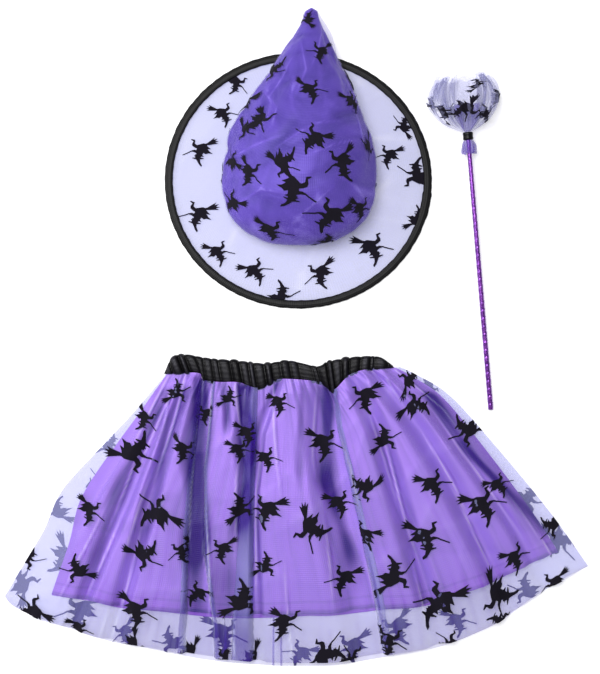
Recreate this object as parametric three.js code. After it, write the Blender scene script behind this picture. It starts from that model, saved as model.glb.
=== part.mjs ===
// A child's witch costume laid out on a table: a gathered skirt with a sheer overlay, a pointed hat
// with a sheer wired brim and its soft crown fallen back, and a wand with a sheer tuft.
// Millimetres, +Z up. The costume lies on z = 0 with the middle of its footprint at the origin.
// +X is to the right as it is looked down on, and +Y runs from the skirt to the hat's tip.
import * as THREE from "three";

// Cloth
const CLOTH = 1.0; // wall of a cloth that stands up
const LAID = 1.3; // upright measure of a panel that lies flat, so that its slopes stay over 1 mm
const SEAM = 0.3; // gap between pieces that are sewn together

// Skirt, a tube laid flat
const SKIRT_WAIST = 260; // laid width where the skirt meets the band
const SKIRT_HEM = 690; // laid width along the hem
const FRONT_GATHERS = 22;
const LINING_GATHERS = 22;
const FOLD_START = 0.14; // share of the length over which the folds rise from the band
const GATHER_END = 0.3; // share of the length at which the small gathers have run out
const OVERLAY_GATHER_HIGH = 1.3;
const LINING_GATHER_HIGH = 0.7;
const LAYER = LAID + SEAM; // step from one laid panel to the next
const COLUMNS = 84; // columns of the grid that the panels share
const MARGIN_COLUMNS = 3; // of these, on each side, where the overlay has no lining under it
const BACK_STEP = 3; // the back panels use every third column
const ROWS = 9;
const LINING_ROWS = 7; // rows from the waist to the lining's hem
const BACK = { step: BACK_STEP, side: "back", drop: 7 }; // the back's hem hangs lower than the front's
const FRONT = { step: 1, side: "front", drop: 0 };
const HEM_SETTLE = 0.3; // share of the lining's height that the overlay keeps at its own hem
const LINING_PUFF = 0.3; // how much further the two linings lie apart, as their grids differ
const LINING_FOLD_SHARE = 0.6; // share of the overlay's folds that the lining takes
const LINING_LEFT = { waist: 0.025, hem: 0.075 }; // how far the lining stays inside the overlay
const LINING_RIGHT = { waist: 0.025, hem: 0.03 };
const BAND_WALL = 3.2; // elastic in its folded casing
const BAND_GAP = 0.5;
const BAND_EDGE = 0.6; // share of the band's wall that is left at its rounded edges
const BAND_RUCHE = 1.2;

// Hat
const HAT_CENTRE = { x: 2, y: 179 };
const BRIM_REACH = { x: 153.5, y: 147 }; // half sizes of the slightly oval hoop
const HEAD_RADIUS = 73; // crown seam
const BRIM_TUCK = 3; // brim cloth inside the crown seam
const BRIM_LIFT = 1.3; // the binding holds the brim's cloth this far off the table
const BRIM_CLOTH = 1.1;
const BRIM_RIPPLE = 0.7;
const BINDING = { wide: 9.5, high: 3.6 };
const BINDING_LAP = { angle: -0.2, reach: 0.11, proud: 1.8 }; // where the strip's end laps over its start
const CROWN_ROUND = 32; // columns round the crown

// Wand
const STICK = { butt: 2.9, neck: 2.5 }; // radii
const STICK_BUTT = new THREE.Vector3(223, -84, STICK.butt);
const STICK_NECK = new THREE.Vector3(196.5, 207, 19); // where the collar starts
const STICK_IN_TUFT = 24; // length beyond the neck point
const TIE = { from: 16, to: 25, radius: 5.8 };
const COLLAR = { from: 0, to: TIE.from - SEAM };

// Outline of the laid skirt. Each table runs from the left or from the waist, in millimetres.
const WAIST_LINE = [
  { x: -150, y: -37 },
  { x: -111, y: -41.5 },
  { x: -65, y: -48 },
  { x: -8, y: -47.5 },
  { x: 38, y: -52 },
  { x: 67, y: -46.5 },
  { x: 88, y: -39 },
  { x: 110, y: -34.5 },
];
const BAND_TOP_LINE = [
  { x: -136, y: -18 },
  { x: -111, y: -20 },
  { x: -65, y: -25 },
  { x: -25, y: -27 },
  { x: 27, y: -26.5 },
  { x: 61, y: -22 },
  { x: 88, y: -18 },
  { x: 102, y: -21 },
];
const LEFT_SIDE = [
  { x: -150, y: -37 },
  { x: -189, y: -93 },
  { x: -243, y: -139 },
  { x: -275, y: -186 },
  { x: -307, y: -243 },
  { x: -335, y: -294 },
];
const RIGHT_SIDE = [
  { x: 110, y: -34.5 },
  { x: 161, y: -53 },
  { x: 200, y: -91 },
  { x: 261, y: -157 },
  { x: 298, y: -203 },
  { x: 335, y: -260 },
];
const FRONT_HEM = [
  { x: -335, y: -294 },
  { x: -272, y: -326 },
  { x: -194, y: -348 },
  { x: -120, y: -362 },
  { x: -49, y: -370 },
  { x: 4, y: -374 },
  { x: 102, y: -366 },
  { x: 200, y: -340 },
  { x: 274, y: -302 },
  { x: 335, y: -260 },
];

// Share of the overlay's length that the lining reaches, across the skirt.
const LINING_HEM = [
  { at: 0, front: 0.93, back: 0.93 },
  { at: 0.15, front: 0.87, back: 0.87 },
  { at: 0.5, front: 0.832, back: 0.84 },
  { at: 0.8, front: 0.85, back: 0.862 },
  { at: 1, front: 0.9, back: 0.9 },
];

// Ridges of the laid skirt. waist and hem are shares of the width, the halves and heights millimetres.
const FRONT_FOLDS = [
  { waist: 0.03, hem: 0.07, waistHalf: 6, hemHalf: 24, waistHigh: 1, midHigh: 4, hemHigh: 5 },
  { waist: 0.08, hem: 0.165, waistHalf: 7, hemHalf: 30, waistHigh: 3, midHigh: 7, hemHigh: 7 },
  { waist: 0.145, hem: 0.265, waistHalf: 8, hemHalf: 28, waistHigh: 5, midHigh: 9, hemHigh: 7 },
  { waist: 0.3, hem: 0.393, waistHalf: 22, hemHalf: 27, waistHigh: 7, midHigh: 11, hemHigh: 11 },
  { waist: 0.46, hem: 0.478, waistHalf: 14, hemHalf: 24, waistHigh: 4, midHigh: 6, hemHigh: 6 },
  { waist: 0.62, hem: 0.57, waistHalf: 20, hemHalf: 38, waistHigh: 5, midHigh: 8, hemHigh: 10 },
  { waist: 0.77, hem: 0.69, waistHalf: 12, hemHalf: 30, waistHigh: 7, midHigh: 11, hemHigh: 9 },
  { waist: 0.86, hem: 0.79, waistHalf: 10, hemHalf: 34, waistHigh: 4, midHigh: 9, hemHigh: 11 },
  { waist: 0.94, hem: 0.895, waistHalf: 7, hemHalf: 32, waistHigh: 2, midHigh: 8, hemHigh: 8 },
];
const BACK_FOLDS = [
  { waist: 0.22, hem: 0.2, waistHalf: 10, hemHalf: 30, waistHigh: 1, midHigh: 2.5, hemHigh: 3 },
  { waist: 0.4, hem: 0.38, waistHalf: 10, hemHalf: 34, waistHigh: 1, midHigh: 3, hemHigh: 3.5 },
  { waist: 0.58, hem: 0.57, waistHalf: 10, hemHalf: 28, waistHigh: 1, midHigh: 2, hemHigh: 3 },
  { waist: 0.76, hem: 0.75, waistHalf: 10, hemHalf: 34, waistHigh: 1, midHigh: 3, hemHigh: 3 },
];

// The crown as rings from its seam to its tip. A ring stands between a point of the front and top line
// and a point of the back and under line, both measured from the head hole's middle.
const CROWN_RINGS = [
  { frontY: -73, frontZ: 2.8, backY: 73, backZ: 2.8, half: 73, sideX: 0, flat: 0, square: 0 },
  { frontY: -76, frontZ: 18, backY: 79, backZ: 5.6, half: 83, sideX: 0.5, flat: 0.1, square: 0.4 },
  { frontY: -74, frontZ: 38, backY: 86, backZ: 6.6, half: 87.5, sideX: 1, flat: 0.2, square: 0.4 },
  { frontY: -65, frontZ: 57, backY: 94, backZ: 6.8, half: 87, sideX: 1.5, flat: 0.3, square: 0.37 },
  { frontY: -48, frontZ: 73, backY: 102, backZ: 7, half: 80, sideX: 2.5, flat: 0.4, square: 0.26 },
  { frontY: -25, frontZ: 84, backY: 110, backZ: 7, half: 74, sideX: 3.5, flat: 0.5, square: 0.12 },
  { frontY: 4, frontZ: 87, backY: 118, backZ: 7.2, half: 67, sideX: 5, flat: 0.5, square: 0 },
  { frontY: 34, frontZ: 84, backY: 128, backZ: 7.2, half: 59.5, sideX: 7, flat: 0.5, square: 0 },
  { frontY: 64, frontZ: 76, backY: 138, backZ: 7.4, half: 51, sideX: 9, flat: 0.5, square: 0 },
  { frontY: 93, frontZ: 66, backY: 149, backZ: 7.6, half: 42, sideX: 10.8, flat: 0.4, square: 0 },
  { frontY: 119, frontZ: 55, backY: 160, backZ: 8, half: 32.5, sideX: 12.5, flat: 0.3, square: 0 },
  { frontY: 143, frontZ: 45, backY: 171, backZ: 8, half: 22.5, sideX: 13.8, flat: 0.2, square: 0 },
  { frontY: 163, frontZ: 37, backY: 180, backZ: 9, half: 14.5, sideX: 14.4, flat: 0.1, square: 0 },
  { frontY: 178, frontZ: 31, backY: 187.5, backZ: 13, half: 9.6, sideX: 14.8, flat: 0, square: 0 },
];
const CROWN_TIP = { x: 15, y: 193.4, z: 22 };

// Troughs across the crown: shares of its length, angles from the right side over the top, in degrees.
const CROWN_CREASES = [
  { fromAngle: 175, toAngle: 55, fromAlong: 0.32, toAlong: 0.54, depth: 4.5, half: 0.09 },
  { fromAngle: 110, toAngle: 10, fromAlong: 0.52, toAlong: 0.68, depth: 3.5, half: 0.08 },
  { fromAngle: 200, toAngle: 100, fromAlong: 0.74, toAlong: 0.84, depth: 2, half: 0.08 },
];
// Where the overlay stands off the satin beside the tip.
const CROWN_PUFF = { along: 0.86, halfAlong: 0.14, angle: 10, halfAngle: 70, lift: 5.5 };

// Tuft of the wand: rings from the neck outwards, measured along the stick from the collar.
const TUFT_OUTER = [
  { along: TIE.to + SEAM, radius: 5.2, ruffle: 0.03 },
  { along: 30, radius: 11, ruffle: 0.06 },
  { along: 37, radius: 24, ruffle: 0.1 },
  { along: 50, radius: 34, ruffle: 0.12 },
  { along: 65, radius: 36, ruffle: 0.13 },
  { along: 79, radius: 31, ruffle: 0.15 },
  { along: 89, radius: 22, ruffle: 0.18 },
  { along: 91, radius: 13, ruffle: 0.2 },
  { along: 84, radius: 7, ruffle: 0.15 },
];
const TUFT_INNER = [
  { along: 33, radius: 3.4, ruffle: 0.03 },
  { along: 41, radius: 12, ruffle: 0.1 },
  { along: 53, radius: 20, ruffle: 0.14 },
  { along: 66, radius: 19, ruffle: 0.16 },
  { along: 75, radius: 11, ruffle: 0.18 },
  { along: 72, radius: 5, ruffle: 0.1 },
];
const TUFT_WAVES = 7;
const TUFT_LOBES = 3; // the puff is fuller on some sides than on others
const TUFT_LOBE_SHARE = 0.07;
const TUFT_ROUND = 36;

const mix = THREE.MathUtils.lerp;
const share = (value) => THREE.MathUtils.clamp(value, 0, 1);
const smooth = (value) => THREE.MathUtils.smoothstep(value, 0, 1);
const hump = (value) => (Math.abs(value) < 1 ? (1 + Math.cos(Math.PI * value)) / 2 : 0);

/** A smooth curve through a table's points, as a function of the share of its length. */
function curveThrough(rows) {
  const curve = new THREE.SplineCurve(rows.map((row) => new THREE.Vector2(row.x, row.y)));
  return (at) => curve.getPointAt(share(at));
}

/** A column of a table whose rows are placed by their own key, read between rows. */
function readTable(rows, key, column, at, ease = smooth) {
  const next = rows.findIndex((row) => row[key] >= at);
  if (next <= 0) return rows[next < 0 ? rows.length - 1 : 0][column];
  const [a, b] = [rows[next - 1], rows[next]];
  return mix(a[column], b[column], ease((at - a[key]) / (b[key] - a[key])));
}

/** A closed wall between two grids of points. round joins the last column to the first. */
function wallBetween(outer, inner, round) {
  const positions = [];
  const known = new Map();
  const indexOf = (point) => {
    const key = point.toArray().map((value) => value.toFixed(3)).join();
    if (!known.has(key)) {
      known.set(key, positions.length / 3);
      positions.push(...point);
    }
    return known.get(key);
  };
  const triangles = [];
  const quad = (...corners) => {
    const [a, b, c, d] = corners.map(indexOf);
    for (const triangle of [[a, b, c], [a, c, d]]) {
      if (new Set(triangle).size === 3) triangles.push(...triangle);
    }
  };
  const rows = outer.length;
  const columns = outer[0].length;
  const lastColumn = round ? columns : columns - 1;
  for (let i = 0; i < rows - 1; i++) {
    for (let j = 0; j < lastColumn; j++) {
      const k = (j + 1) % columns;
      quad(outer[i][j], outer[i][k], outer[i + 1][k], outer[i + 1][j]);
      quad(inner[i][j], inner[i + 1][j], inner[i + 1][k], inner[i][k]);
    }
  }
  for (let j = 0; j < lastColumn; j++) {
    const k = (j + 1) % columns;
    quad(outer[0][k], outer[0][j], inner[0][j], inner[0][k]);
    quad(outer[rows - 1][j], outer[rows - 1][k], inner[rows - 1][k], inner[rows - 1][j]);
  }
  if (!round) {
    const last = columns - 1;
    for (let i = 0; i < rows - 1; i++) {
      quad(outer[i][0], outer[i + 1][0], inner[i + 1][0], inner[i][0]);
      quad(outer[i + 1][last], outer[i][last], inner[i][last], inner[i + 1][last]);
    }
  }
  const geometry = new THREE.BufferGeometry();
  geometry.setAttribute("position", new THREE.Float32BufferAttribute(positions, 3));
  geometry.setIndex(triangles);
  return facingOut(geometry);
}

/** The same closed geometry with its faces turned outwards. */
function facingOut(geometry) {
  const { position } = geometry.attributes;
  const [a, b, c] = [new THREE.Vector3(), new THREE.Vector3(), new THREE.Vector3()];
  const index = geometry.index.array;
  let volume = 0;
  for (let i = 0; i < index.length; i += 3) {
    a.fromBufferAttribute(position, index[i]);
    b.fromBufferAttribute(position, index[i + 1]);
    c.fromBufferAttribute(position, index[i + 2]);
    volume += a.dot(b.cross(c));
  }
  if (volume < 0) {
    for (let i = 0; i < index.length; i += 3) {
      [index[i + 1], index[i + 2]] = [index[i + 2], index[i + 1]];
    }
  }
  geometry.computeVertexNormals();
  return geometry;
}

/** Rows of points, with the function given the shares of the way across and down. */
function gridOf(columns, rows, pointAt) {
  return Array.from({ length: rows + 1 }, (_, i) =>
    Array.from({ length: columns + 1 }, (_unused, j) => pointAt(j / columns, i / rows, i, j)),
  );
}

/** A sewn piece: a named mesh in its own cloth or stuff. */
function piece(name, geometry, material) {
  const mesh = new THREE.Mesh(geometry, material);
  mesh.name = name;
  return mesh;
}

const finish = (color, roughness, metalness = 0, opacity = 1) =>
  new THREE.MeshStandardMaterial({ color, roughness, metalness, opacity, transparent: opacity < 1 });

const PURPLE_SATIN = () => finish(0x8a5fe0, 0.42);
const BLACK_SATIN = () => finish(0x23222b, 0.45);
const ORGANZA = () => finish(0xc3c4f0, 0.6, 0, 0.4);
const FOIL = () => finish(0x8a2fb4, 0.25, 0.8);

// Skirt

const waistLine = curveThrough(WAIST_LINE);
const leftSide = curveThrough(LEFT_SIDE);
const rightSide = curveThrough(RIGHT_SIDE);
const frontHem = curveThrough(FRONT_HEM);

/** A place on the laid skirt from the shares of the way across and down, with the hem dropped by drop. */
function skirtPlace(across, down, drop = 0) {
  const hemPoint = frontHem(across);
  hemPoint.y -= drop * Math.sin(Math.PI * across);
  const place = new THREE.Vector2()
    .addScaledVector(waistLine(across), 1 - down)
    .addScaledVector(hemPoint, down)
    .addScaledVector(leftSide(down), 1 - across)
    .addScaledVector(rightSide(down), across);
  const corners = new THREE.Vector2()
    .addScaledVector(waistLine(0), (1 - across) * (1 - down))
    .addScaledVector(waistLine(1), across * (1 - down))
    .addScaledVector(frontHem(0), (1 - across) * down)
    .addScaledVector(frontHem(1), across * down);
  return place.sub(corners);
}

const laidWidth = (down) => mix(SKIRT_WAIST, SKIRT_HEM, down);

/** Height of the ridges of a fold table at a place of the skirt, which start low at the band. */
function foldHeight(folds, across, down) {
  const start = mix(0.3, 1, smooth(down / FOLD_START));
  return start * folds.reduce((sum, fold) => {
    const half = mix(fold.waistHalf, fold.hemHalf, down) / laidWidth(down);
    const high =
      down < 0.5
        ? mix(fold.waistHigh, fold.midHigh, smooth(down * 2))
        : mix(fold.midHigh, fold.hemHigh, smooth(down * 2 - 1));
    return sum + high * hump((across - mix(fold.waist, fold.hem, down)) / half);
  }, 0);
}

const gatherFade = (down) => 1 - smooth(down / GATHER_END);
const gatherWave = (count, across) => Math.cos(2 * Math.PI * count * across);

/** Shares of the width between which the lining lies at a share of the length. */
const liningSides = (down) => ({
  left: mix(LINING_LEFT.waist, LINING_LEFT.hem, down),
  right: 1 - mix(LINING_RIGHT.waist, LINING_RIGHT.hem, down),
});

/** The lines that the grid's columns run along, so that they follow the folds of the front. */
const FOLD_LINES = [{ waist: 0, hem: 0 }, ...FRONT_FOLDS, { waist: 1, hem: 1 }].map(({ waist, hem }) => ({
  at: (waist + hem) / 2,
  waist,
  hem,
}));

/** The share of the lining's width at which a column runs, from its share of the columns. */
const alongFolds = (inner, down) =>
  mix(
    readTable(FOLD_LINES, "at", "waist", inner, share),
    readTable(FOLD_LINES, "at", "hem", inner, share),
    down,
  );

/** The place of a column and a row of the grid that all the skirt's panels share. */
function gridPlace(column, row, side, drop) {
  const inner = (column - MARGIN_COLUMNS) / (COLUMNS - 2 * MARGIN_COLUMNS);
  const liningHem = readTable(LINING_HEM, "at", side, share(inner));
  const past = (row - LINING_ROWS) / (ROWS - LINING_ROWS);
  const down = past > 0 ? mix(liningHem, 1, past) : (liningHem * row) / LINING_ROWS;
  const { left, right } = liningSides(down);
  const across =
    inner < 0
      ? (left * column) / MARGIN_COLUMNS
      : inner > 1
        ? mix(right, 1, (column - COLUMNS + MARGIN_COLUMNS) / MARGIN_COLUMNS)
        : mix(left, right, alongFolds(inner, down));
  return { place: skirtPlace(across, down, drop), across, down };
}

/** How far in from its side edges a column lies, as a share of the way over the side's slope. */
const inFrom = (column, first, over) => share(Math.min(column - first, COLUMNS - first - column) / over);

/** Height of the back's ridges at one of its own columns. */
function backRidge(column, row) {
  const { across, down } = gridPlace(column, row, BACK.side, BACK.drop);
  return foldHeight(BACK_FOLDS, across, down) * smooth(inFrom(column, 0, 3 * BACK_STEP));
}

/** The same at any column: straight between the back's columns. */
function backHeight(column, row) {
  const before = Math.floor(column / BACK_STEP) * BACK_STEP;
  if (before === column) return backRidge(column, row);
  const after = before + BACK_STEP;
  const [start, here, end] = [before, column, after].map((at) => gridPlace(at, row, BACK.side, 0).across);
  return mix(backRidge(before, row), backRidge(after, row), (here - start) / (end - start));
}

const overlayBackHeight = (column, row) => backHeight(column, row);
const liningBackHeight = (column, row) => backHeight(column, row) + LAYER;

function liningFrontHeight(column, row) {
  const { across, down } = gridPlace(column, row, "front", 0);
  const inside = smooth(inFrom(column, MARGIN_COLUMNS, 4));
  const gathers = LINING_GATHER_HIGH * gatherFade(down) * (1 + gatherWave(LINING_GATHERS, across));
  const folds = LINING_FOLD_SHARE * foldHeight(FRONT_FOLDS, across, down);
  return liningBackHeight(column, row) + LAYER + LINING_PUFF + inside * (folds + gathers);
}

function overlayFrontHeight(column, row) {
  const { across, down } = gridPlace(column, row, "front", 0);
  const overLining = row <= LINING_ROWS && column >= MARGIN_COLUMNS && column <= COLUMNS - MARGIN_COLUMNS;
  const margin = Math.min(1, inFrom(column, 0, MARGIN_COLUMNS));
  const past = share((row - LINING_ROWS) / (ROWS - LINING_ROWS));
  const climb = 2 * LAYER * (1 - (1 - margin) ** 1.5) * mix(1, HEM_SETTLE, smooth(past));
  const inside = smooth(inFrom(column, 0, MARGIN_COLUMNS + 3));
  const gathers = OVERLAY_GATHER_HIGH * gatherFade(down) * (1 + gatherWave(FRONT_GATHERS, across));
  const own = backHeight(column, row) + LAYER + climb + inside * (foldHeight(FRONT_FOLDS, across, down) + gathers);
  return overLining ? Math.max(own, liningFrontHeight(column, row) + LAYER) : own;
}

/** A laid panel over the shared grid, from every so many columns, as a wall from its underside up. */
function laidPanel({ step, inset, rows, side, drop, heightAt }) {
  const under = gridOf((COLUMNS - 2 * inset) / step, rows, (_s, _t, i, j) => {
    const { place } = gridPlace(inset + j * step, i, side, drop);
    return new THREE.Vector3(place.x, place.y, heightAt(inset + j * step, i));
  });
  const top = under.map((row) => row.map((point) => point.clone().setZ(point.z + LAID)));
  return wallBetween(top, under, false);
}

/** The band: one strip sewn into a ring, laid flat, gathered except where it lies smooth in front. */
function waistband() {
  const frontColumns = 69;
  const backColumns = 21;
  const endColumns = 3;
  const gathers = 23;
  const thick = 2 * BAND_WALL + BAND_GAP;
  const lower = curveThrough(WAIST_LINE);
  const upper = curveThrough(BAND_TOP_LINE);
  const ruche = (along) => {
    const gathered = 1 - 0.8 * hump((along - 0.66) / 0.16);
    return gathered * (0.5 + 0.5 * Math.cos(2 * Math.PI * gathers * along));
  };
  const loop = [];
  for (let i = 0; i <= frontColumns; i++) loop.push({ along: i / frontColumns, front: 1, end: 0 });
  for (let i = 1; i <= endColumns; i++) loop.push({ along: 1, turn: i / (endColumns + 1), end: 1 });
  for (let i = 0; i <= backColumns; i++) loop.push({ along: 1 - i / backColumns, front: 0, end: 0 });
  for (let i = 1; i <= endColumns; i++) {
    loop.push({ along: 0, turn: 1 - i / (endColumns + 1), end: -1 });
  }
  const rows = [
    { down: 0, full: BAND_EDGE },
    { down: 0.12, full: 1 },
    { down: 0.5, full: 1 },
    { down: 0.88, full: 1 },
    { down: 1, full: BAND_EDGE },
  ];
  const middle = thick / 2;
  const pointOn = ({ along, front, turn, end }, { down, full }, wallShare) => {
    const top = upper(along);
    const base = lower(along);
    const gather = ruche(along);
    const isFront = end === 0 && front === 1;
    top.y += isFront || end !== 0 ? BAND_RUCHE * gather : 0;
    base.y += SEAM;
    const place = top.lerp(base, down);
    const reach = middle - wallShare * BAND_WALL * full - (1 - full) * BAND_WALL * (1 - wallShare) * 0.5;
    if (end !== 0) {
      const angle = Math.PI * (0.5 - turn);
      return new THREE.Vector3(
        place.x + end * reach * Math.cos(angle),
        place.y,
        middle + reach * Math.sin(angle),
      );
    }
    const puff = isFront && wallShare === 0 ? BAND_RUCHE * gather * full : 0;
    return new THREE.Vector3(place.x, place.y, isFront ? middle + reach + puff : middle - reach);
  };
  const outer = rows.map((row) => loop.map((column) => pointOn(column, row, 0)));
  const inner = rows.map((row) => loop.map((column) => pointOn(column, row, 1)));
  return wallBetween(outer, inner, true);
}

function skirt() {
  const group = new THREE.Group();
  group.add(
    piece("waistband", waistband(), BLACK_SATIN()),
    piece(
      "skirt_organza_back",
      laidPanel({ ...BACK, inset: 0, rows: ROWS, heightAt: overlayBackHeight }),
      ORGANZA(),
    ),
    piece(
      "skirt_lining_back",
      laidPanel({ ...BACK, inset: MARGIN_COLUMNS, rows: LINING_ROWS, heightAt: liningBackHeight }),
      PURPLE_SATIN(),
    ),
    piece(
      "skirt_lining_front",
      laidPanel({ ...FRONT, inset: MARGIN_COLUMNS, rows: LINING_ROWS, heightAt: liningFrontHeight }),
      PURPLE_SATIN(),
    ),
    piece(
      "skirt_organza_front",
      laidPanel({ ...FRONT, inset: 0, rows: ROWS, heightAt: overlayFrontHeight }),
      ORGANZA(),
    ),
  );
  return group;
}

// Hat

/** Rings of points round the hat, each from a function of the angle. */
const roundRows = (columns, ringAt) =>
  ringAt.map((pointAt) =>
    Array.from({ length: columns }, (_, j) => pointAt((2 * Math.PI * j) / columns)),
  );

/** The brim: a flat ring of sheer cloth stretched from the crown seam to the binding, softly rippled. */
function brim() {
  const columns = 56;
  const inner = HEAD_RADIUS - BRIM_TUCK;
  const shares = [0, 0.35, 0.7, 1];
  const surface = (lift) =>
    roundRows(
      columns,
      shares.map((out) => (angle) => {
        const ripple = BRIM_RIPPLE * Math.sin(Math.PI * out) * Math.sin(7 * angle);
        return new THREE.Vector3(
          mix(inner, BRIM_REACH.x - BINDING.wide - SEAM, out) * Math.cos(angle),
          mix(inner, BRIM_REACH.y - BINDING.wide - SEAM, out) * Math.sin(angle),
          BRIM_LIFT + lift + ripple,
        );
      }),
    );
  return wallBetween(surface(BRIM_CLOTH), surface(0), true);
}

/** The binding: a folded strip round the hoop, flat underneath, its end lapped over its start. */
function binding() {
  const columns = 56;
  const section = [
    { out: 0, up: 0.25 },
    { out: 0.1, up: 0 },
    { out: 0.85, up: 0 },
    { out: 1, up: 0.35 },
    { out: 0.92, up: 0.8 },
    { out: 0.65, up: 1 },
    { out: 0.25, up: 0.9 },
    { out: 0.03, up: 0.6 },
  ];
  const ringAt = section.map(({ out, up }) => (angle) => {
    const turn = Math.atan2(Math.sin(angle - BINDING_LAP.angle), Math.cos(angle - BINDING_LAP.angle));
    const lap = Math.abs(turn) < BINDING_LAP.reach ? BINDING_LAP.proud * out : 0;
    const back = BINDING.wide * (1 - out) - lap;
    return new THREE.Vector3(
      (BRIM_REACH.x - back) * Math.cos(angle),
      (BRIM_REACH.y - back) * Math.sin(angle),
      BINDING.high * up,
    );
  });
  const rings = roundRows(columns, ringAt);
  return closedHoop(rings);
}

/** A hoop from rings that close on themselves the short way round too. */
function closedHoop(rings) {
  const positions = rings.flat().flatMap((point) => point.toArray());
  const columns = rings[0].length;
  const triangles = [];
  rings.forEach((ring, i) => {
    const next = ((i + 1) % rings.length) * columns;
    ring.forEach((_, j) => {
      const k = (j + 1) % columns;
      const [a, b, c, d] = [i * columns + j, i * columns + k, next + k, next + j];
      triangles.push(a, b, c, a, c, d);
    });
  });
  const geometry = new THREE.BufferGeometry();
  geometry.setAttribute("position", new THREE.Float32BufferAttribute(positions, 3));
  geometry.setIndex(triangles);
  return facingOut(geometry);
}

/** Depth of the crown's creases at a share of its length and an angle in degrees. */
function creaseDepth(along, angle) {
  return CROWN_CREASES.reduce((sum, crease) => {
    const way = (angle - crease.fromAngle) / (crease.toAngle - crease.fromAngle);
    if (way <= 0 || way >= 1) return sum;
    const line = mix(crease.fromAlong, crease.toAlong, way);
    return sum + crease.depth * hump((along - line) / crease.half) * Math.sin(Math.PI * way);
  }, 0);
}

/** A point of one crown ring, moved out of the satin's face by out. */
function crownPoint(ring, along, angle, out) {
  const front = new THREE.Vector2(ring.frontY, ring.frontZ);
  const back = new THREE.Vector2(ring.backY, ring.backZ);
  const middle = front.clone().add(back).multiplyScalar(0.5);
  const rise = front.clone().sub(back).normalize();
  const degrees = THREE.MathUtils.radToDeg(angle);
  const reach = out - creaseDepth(along, degrees);
  // The side that it lies on is flatter, and the front is squarer low down.
  const power = Math.sin(angle) < 0 ? 1 - 0.5 * ring.flat : 1 - ring.square;
  const round = (value) => Math.sign(value) * Math.abs(value) ** power;
  const side = (ring.half + reach) * round(Math.cos(angle));
  const up = (front.distanceTo(back) / 2 + reach) * round(Math.sin(angle));
  return new THREE.Vector3(ring.sideX + side, middle.x + rise.x * up, middle.y + rise.y * up);
}

/** A face of the crown from its seam to its tip, moved out of the satin's face by a function. */
function crownFace(outAt) {
  const last = CROWN_RINGS.length;
  const rings = CROWN_RINGS.map((ring, i) => (angle) => {
    const along = i / last;
    return crownPoint(ring, along, angle, outAt(along, THREE.MathUtils.radToDeg(angle)));
  });
  const tipOut = outAt(1, 90);
  const tip = new THREE.Vector3(CROWN_TIP.x, CROWN_TIP.y + tipOut, CROWN_TIP.z);
  return [...roundRows(CROWN_ROUND, rings), Array.from({ length: CROWN_ROUND }, () => tip)];
}

/** How far the overlay's inner face stands off the satin. */
function overlayStandOff(along, angle) {
  const turn = ((angle - CROWN_PUFF.angle + 540) % 360) - 180;
  const puff = hump((along - CROWN_PUFF.along) / CROWN_PUFF.halfAlong) * hump(turn / CROWN_PUFF.halfAngle);
  return SEAM + 0.1 + CROWN_PUFF.lift * puff;
}

function hat() {
  const group = new THREE.Group();
  const satin = wallBetween(crownFace(() => 0), crownFace(() => -CLOTH), true);
  const overlay = wallBetween(
    crownFace((along, angle) => overlayStandOff(along, angle) + CLOTH),
    crownFace(overlayStandOff),
    true,
  );
  group.add(
    piece("hat_brim", brim(), ORGANZA()),
    piece("hat_binding", binding(), BLACK_SATIN()),
    piece("hat_crown_satin", satin, PURPLE_SATIN()),
    piece("hat_crown_organza", overlay, ORGANZA()),
  );
  group.position.set(HAT_CENTRE.x, HAT_CENTRE.y, 0);
  return group;
}

// Wand

const stickWay = STICK_NECK.clone().sub(STICK_BUTT).normalize();
const stickSide = new THREE.Vector3(0, 0, 1).cross(stickWay).normalize();
const stickUp = stickWay.clone().cross(stickSide);

/** A point round the stick: along it from the neck, out by a radius, and never below the table. */
function roundStick(along, radius, angle, floor = 0) {
  const point = STICK_NECK.clone()
    .addScaledVector(stickWay, along)
    .addScaledVector(stickSide, radius * Math.cos(angle))
    .addScaledVector(stickUp, radius * Math.sin(angle));
  point.z = Math.max(point.z, floor);
  return point;
}

function stick() {
  const length = STICK_NECK.distanceTo(STICK_BUTT) + STICK_IN_TUFT;
  const mesh = piece("wand_stick", new THREE.CylinderGeometry(STICK.neck, STICK.butt, length, 14), FOIL());
  mesh.position.copy(STICK_BUTT).addScaledVector(stickWay, length / 2);
  mesh.quaternion.setFromUnitVectors(new THREE.Vector3(0, 1, 0), stickWay);
  return mesh;
}

/** A ruffled wall of cloth round the stick, from a table of rings. */
function ruffledWall(rows, waves, columns, floor = 0) {
  const face = (inwards) => {
    const profile = rows.map(({ along, radius }) => new THREE.Vector2(along, radius));
    return roundRows(
      columns,
      rows.map(({ along, radius, ruffle }, i) => (angle) => {
        const before = profile[Math.max(i - 1, 0)];
        const way = profile[Math.min(i + 1, rows.length - 1)].clone().sub(before).normalize();
        const lobe = TUFT_LOBE_SHARE * Math.cos(TUFT_LOBES * angle + 1);
        const wave = 1 + ruffle * (Math.cos(waves * angle) + lobe);
        return roundStick(along + way.y * inwards, radius * wave - way.x * inwards, angle, floor + inwards);
      }),
    );
  };
  return wallBetween(face(0), face(CLOTH), true);
}

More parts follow.
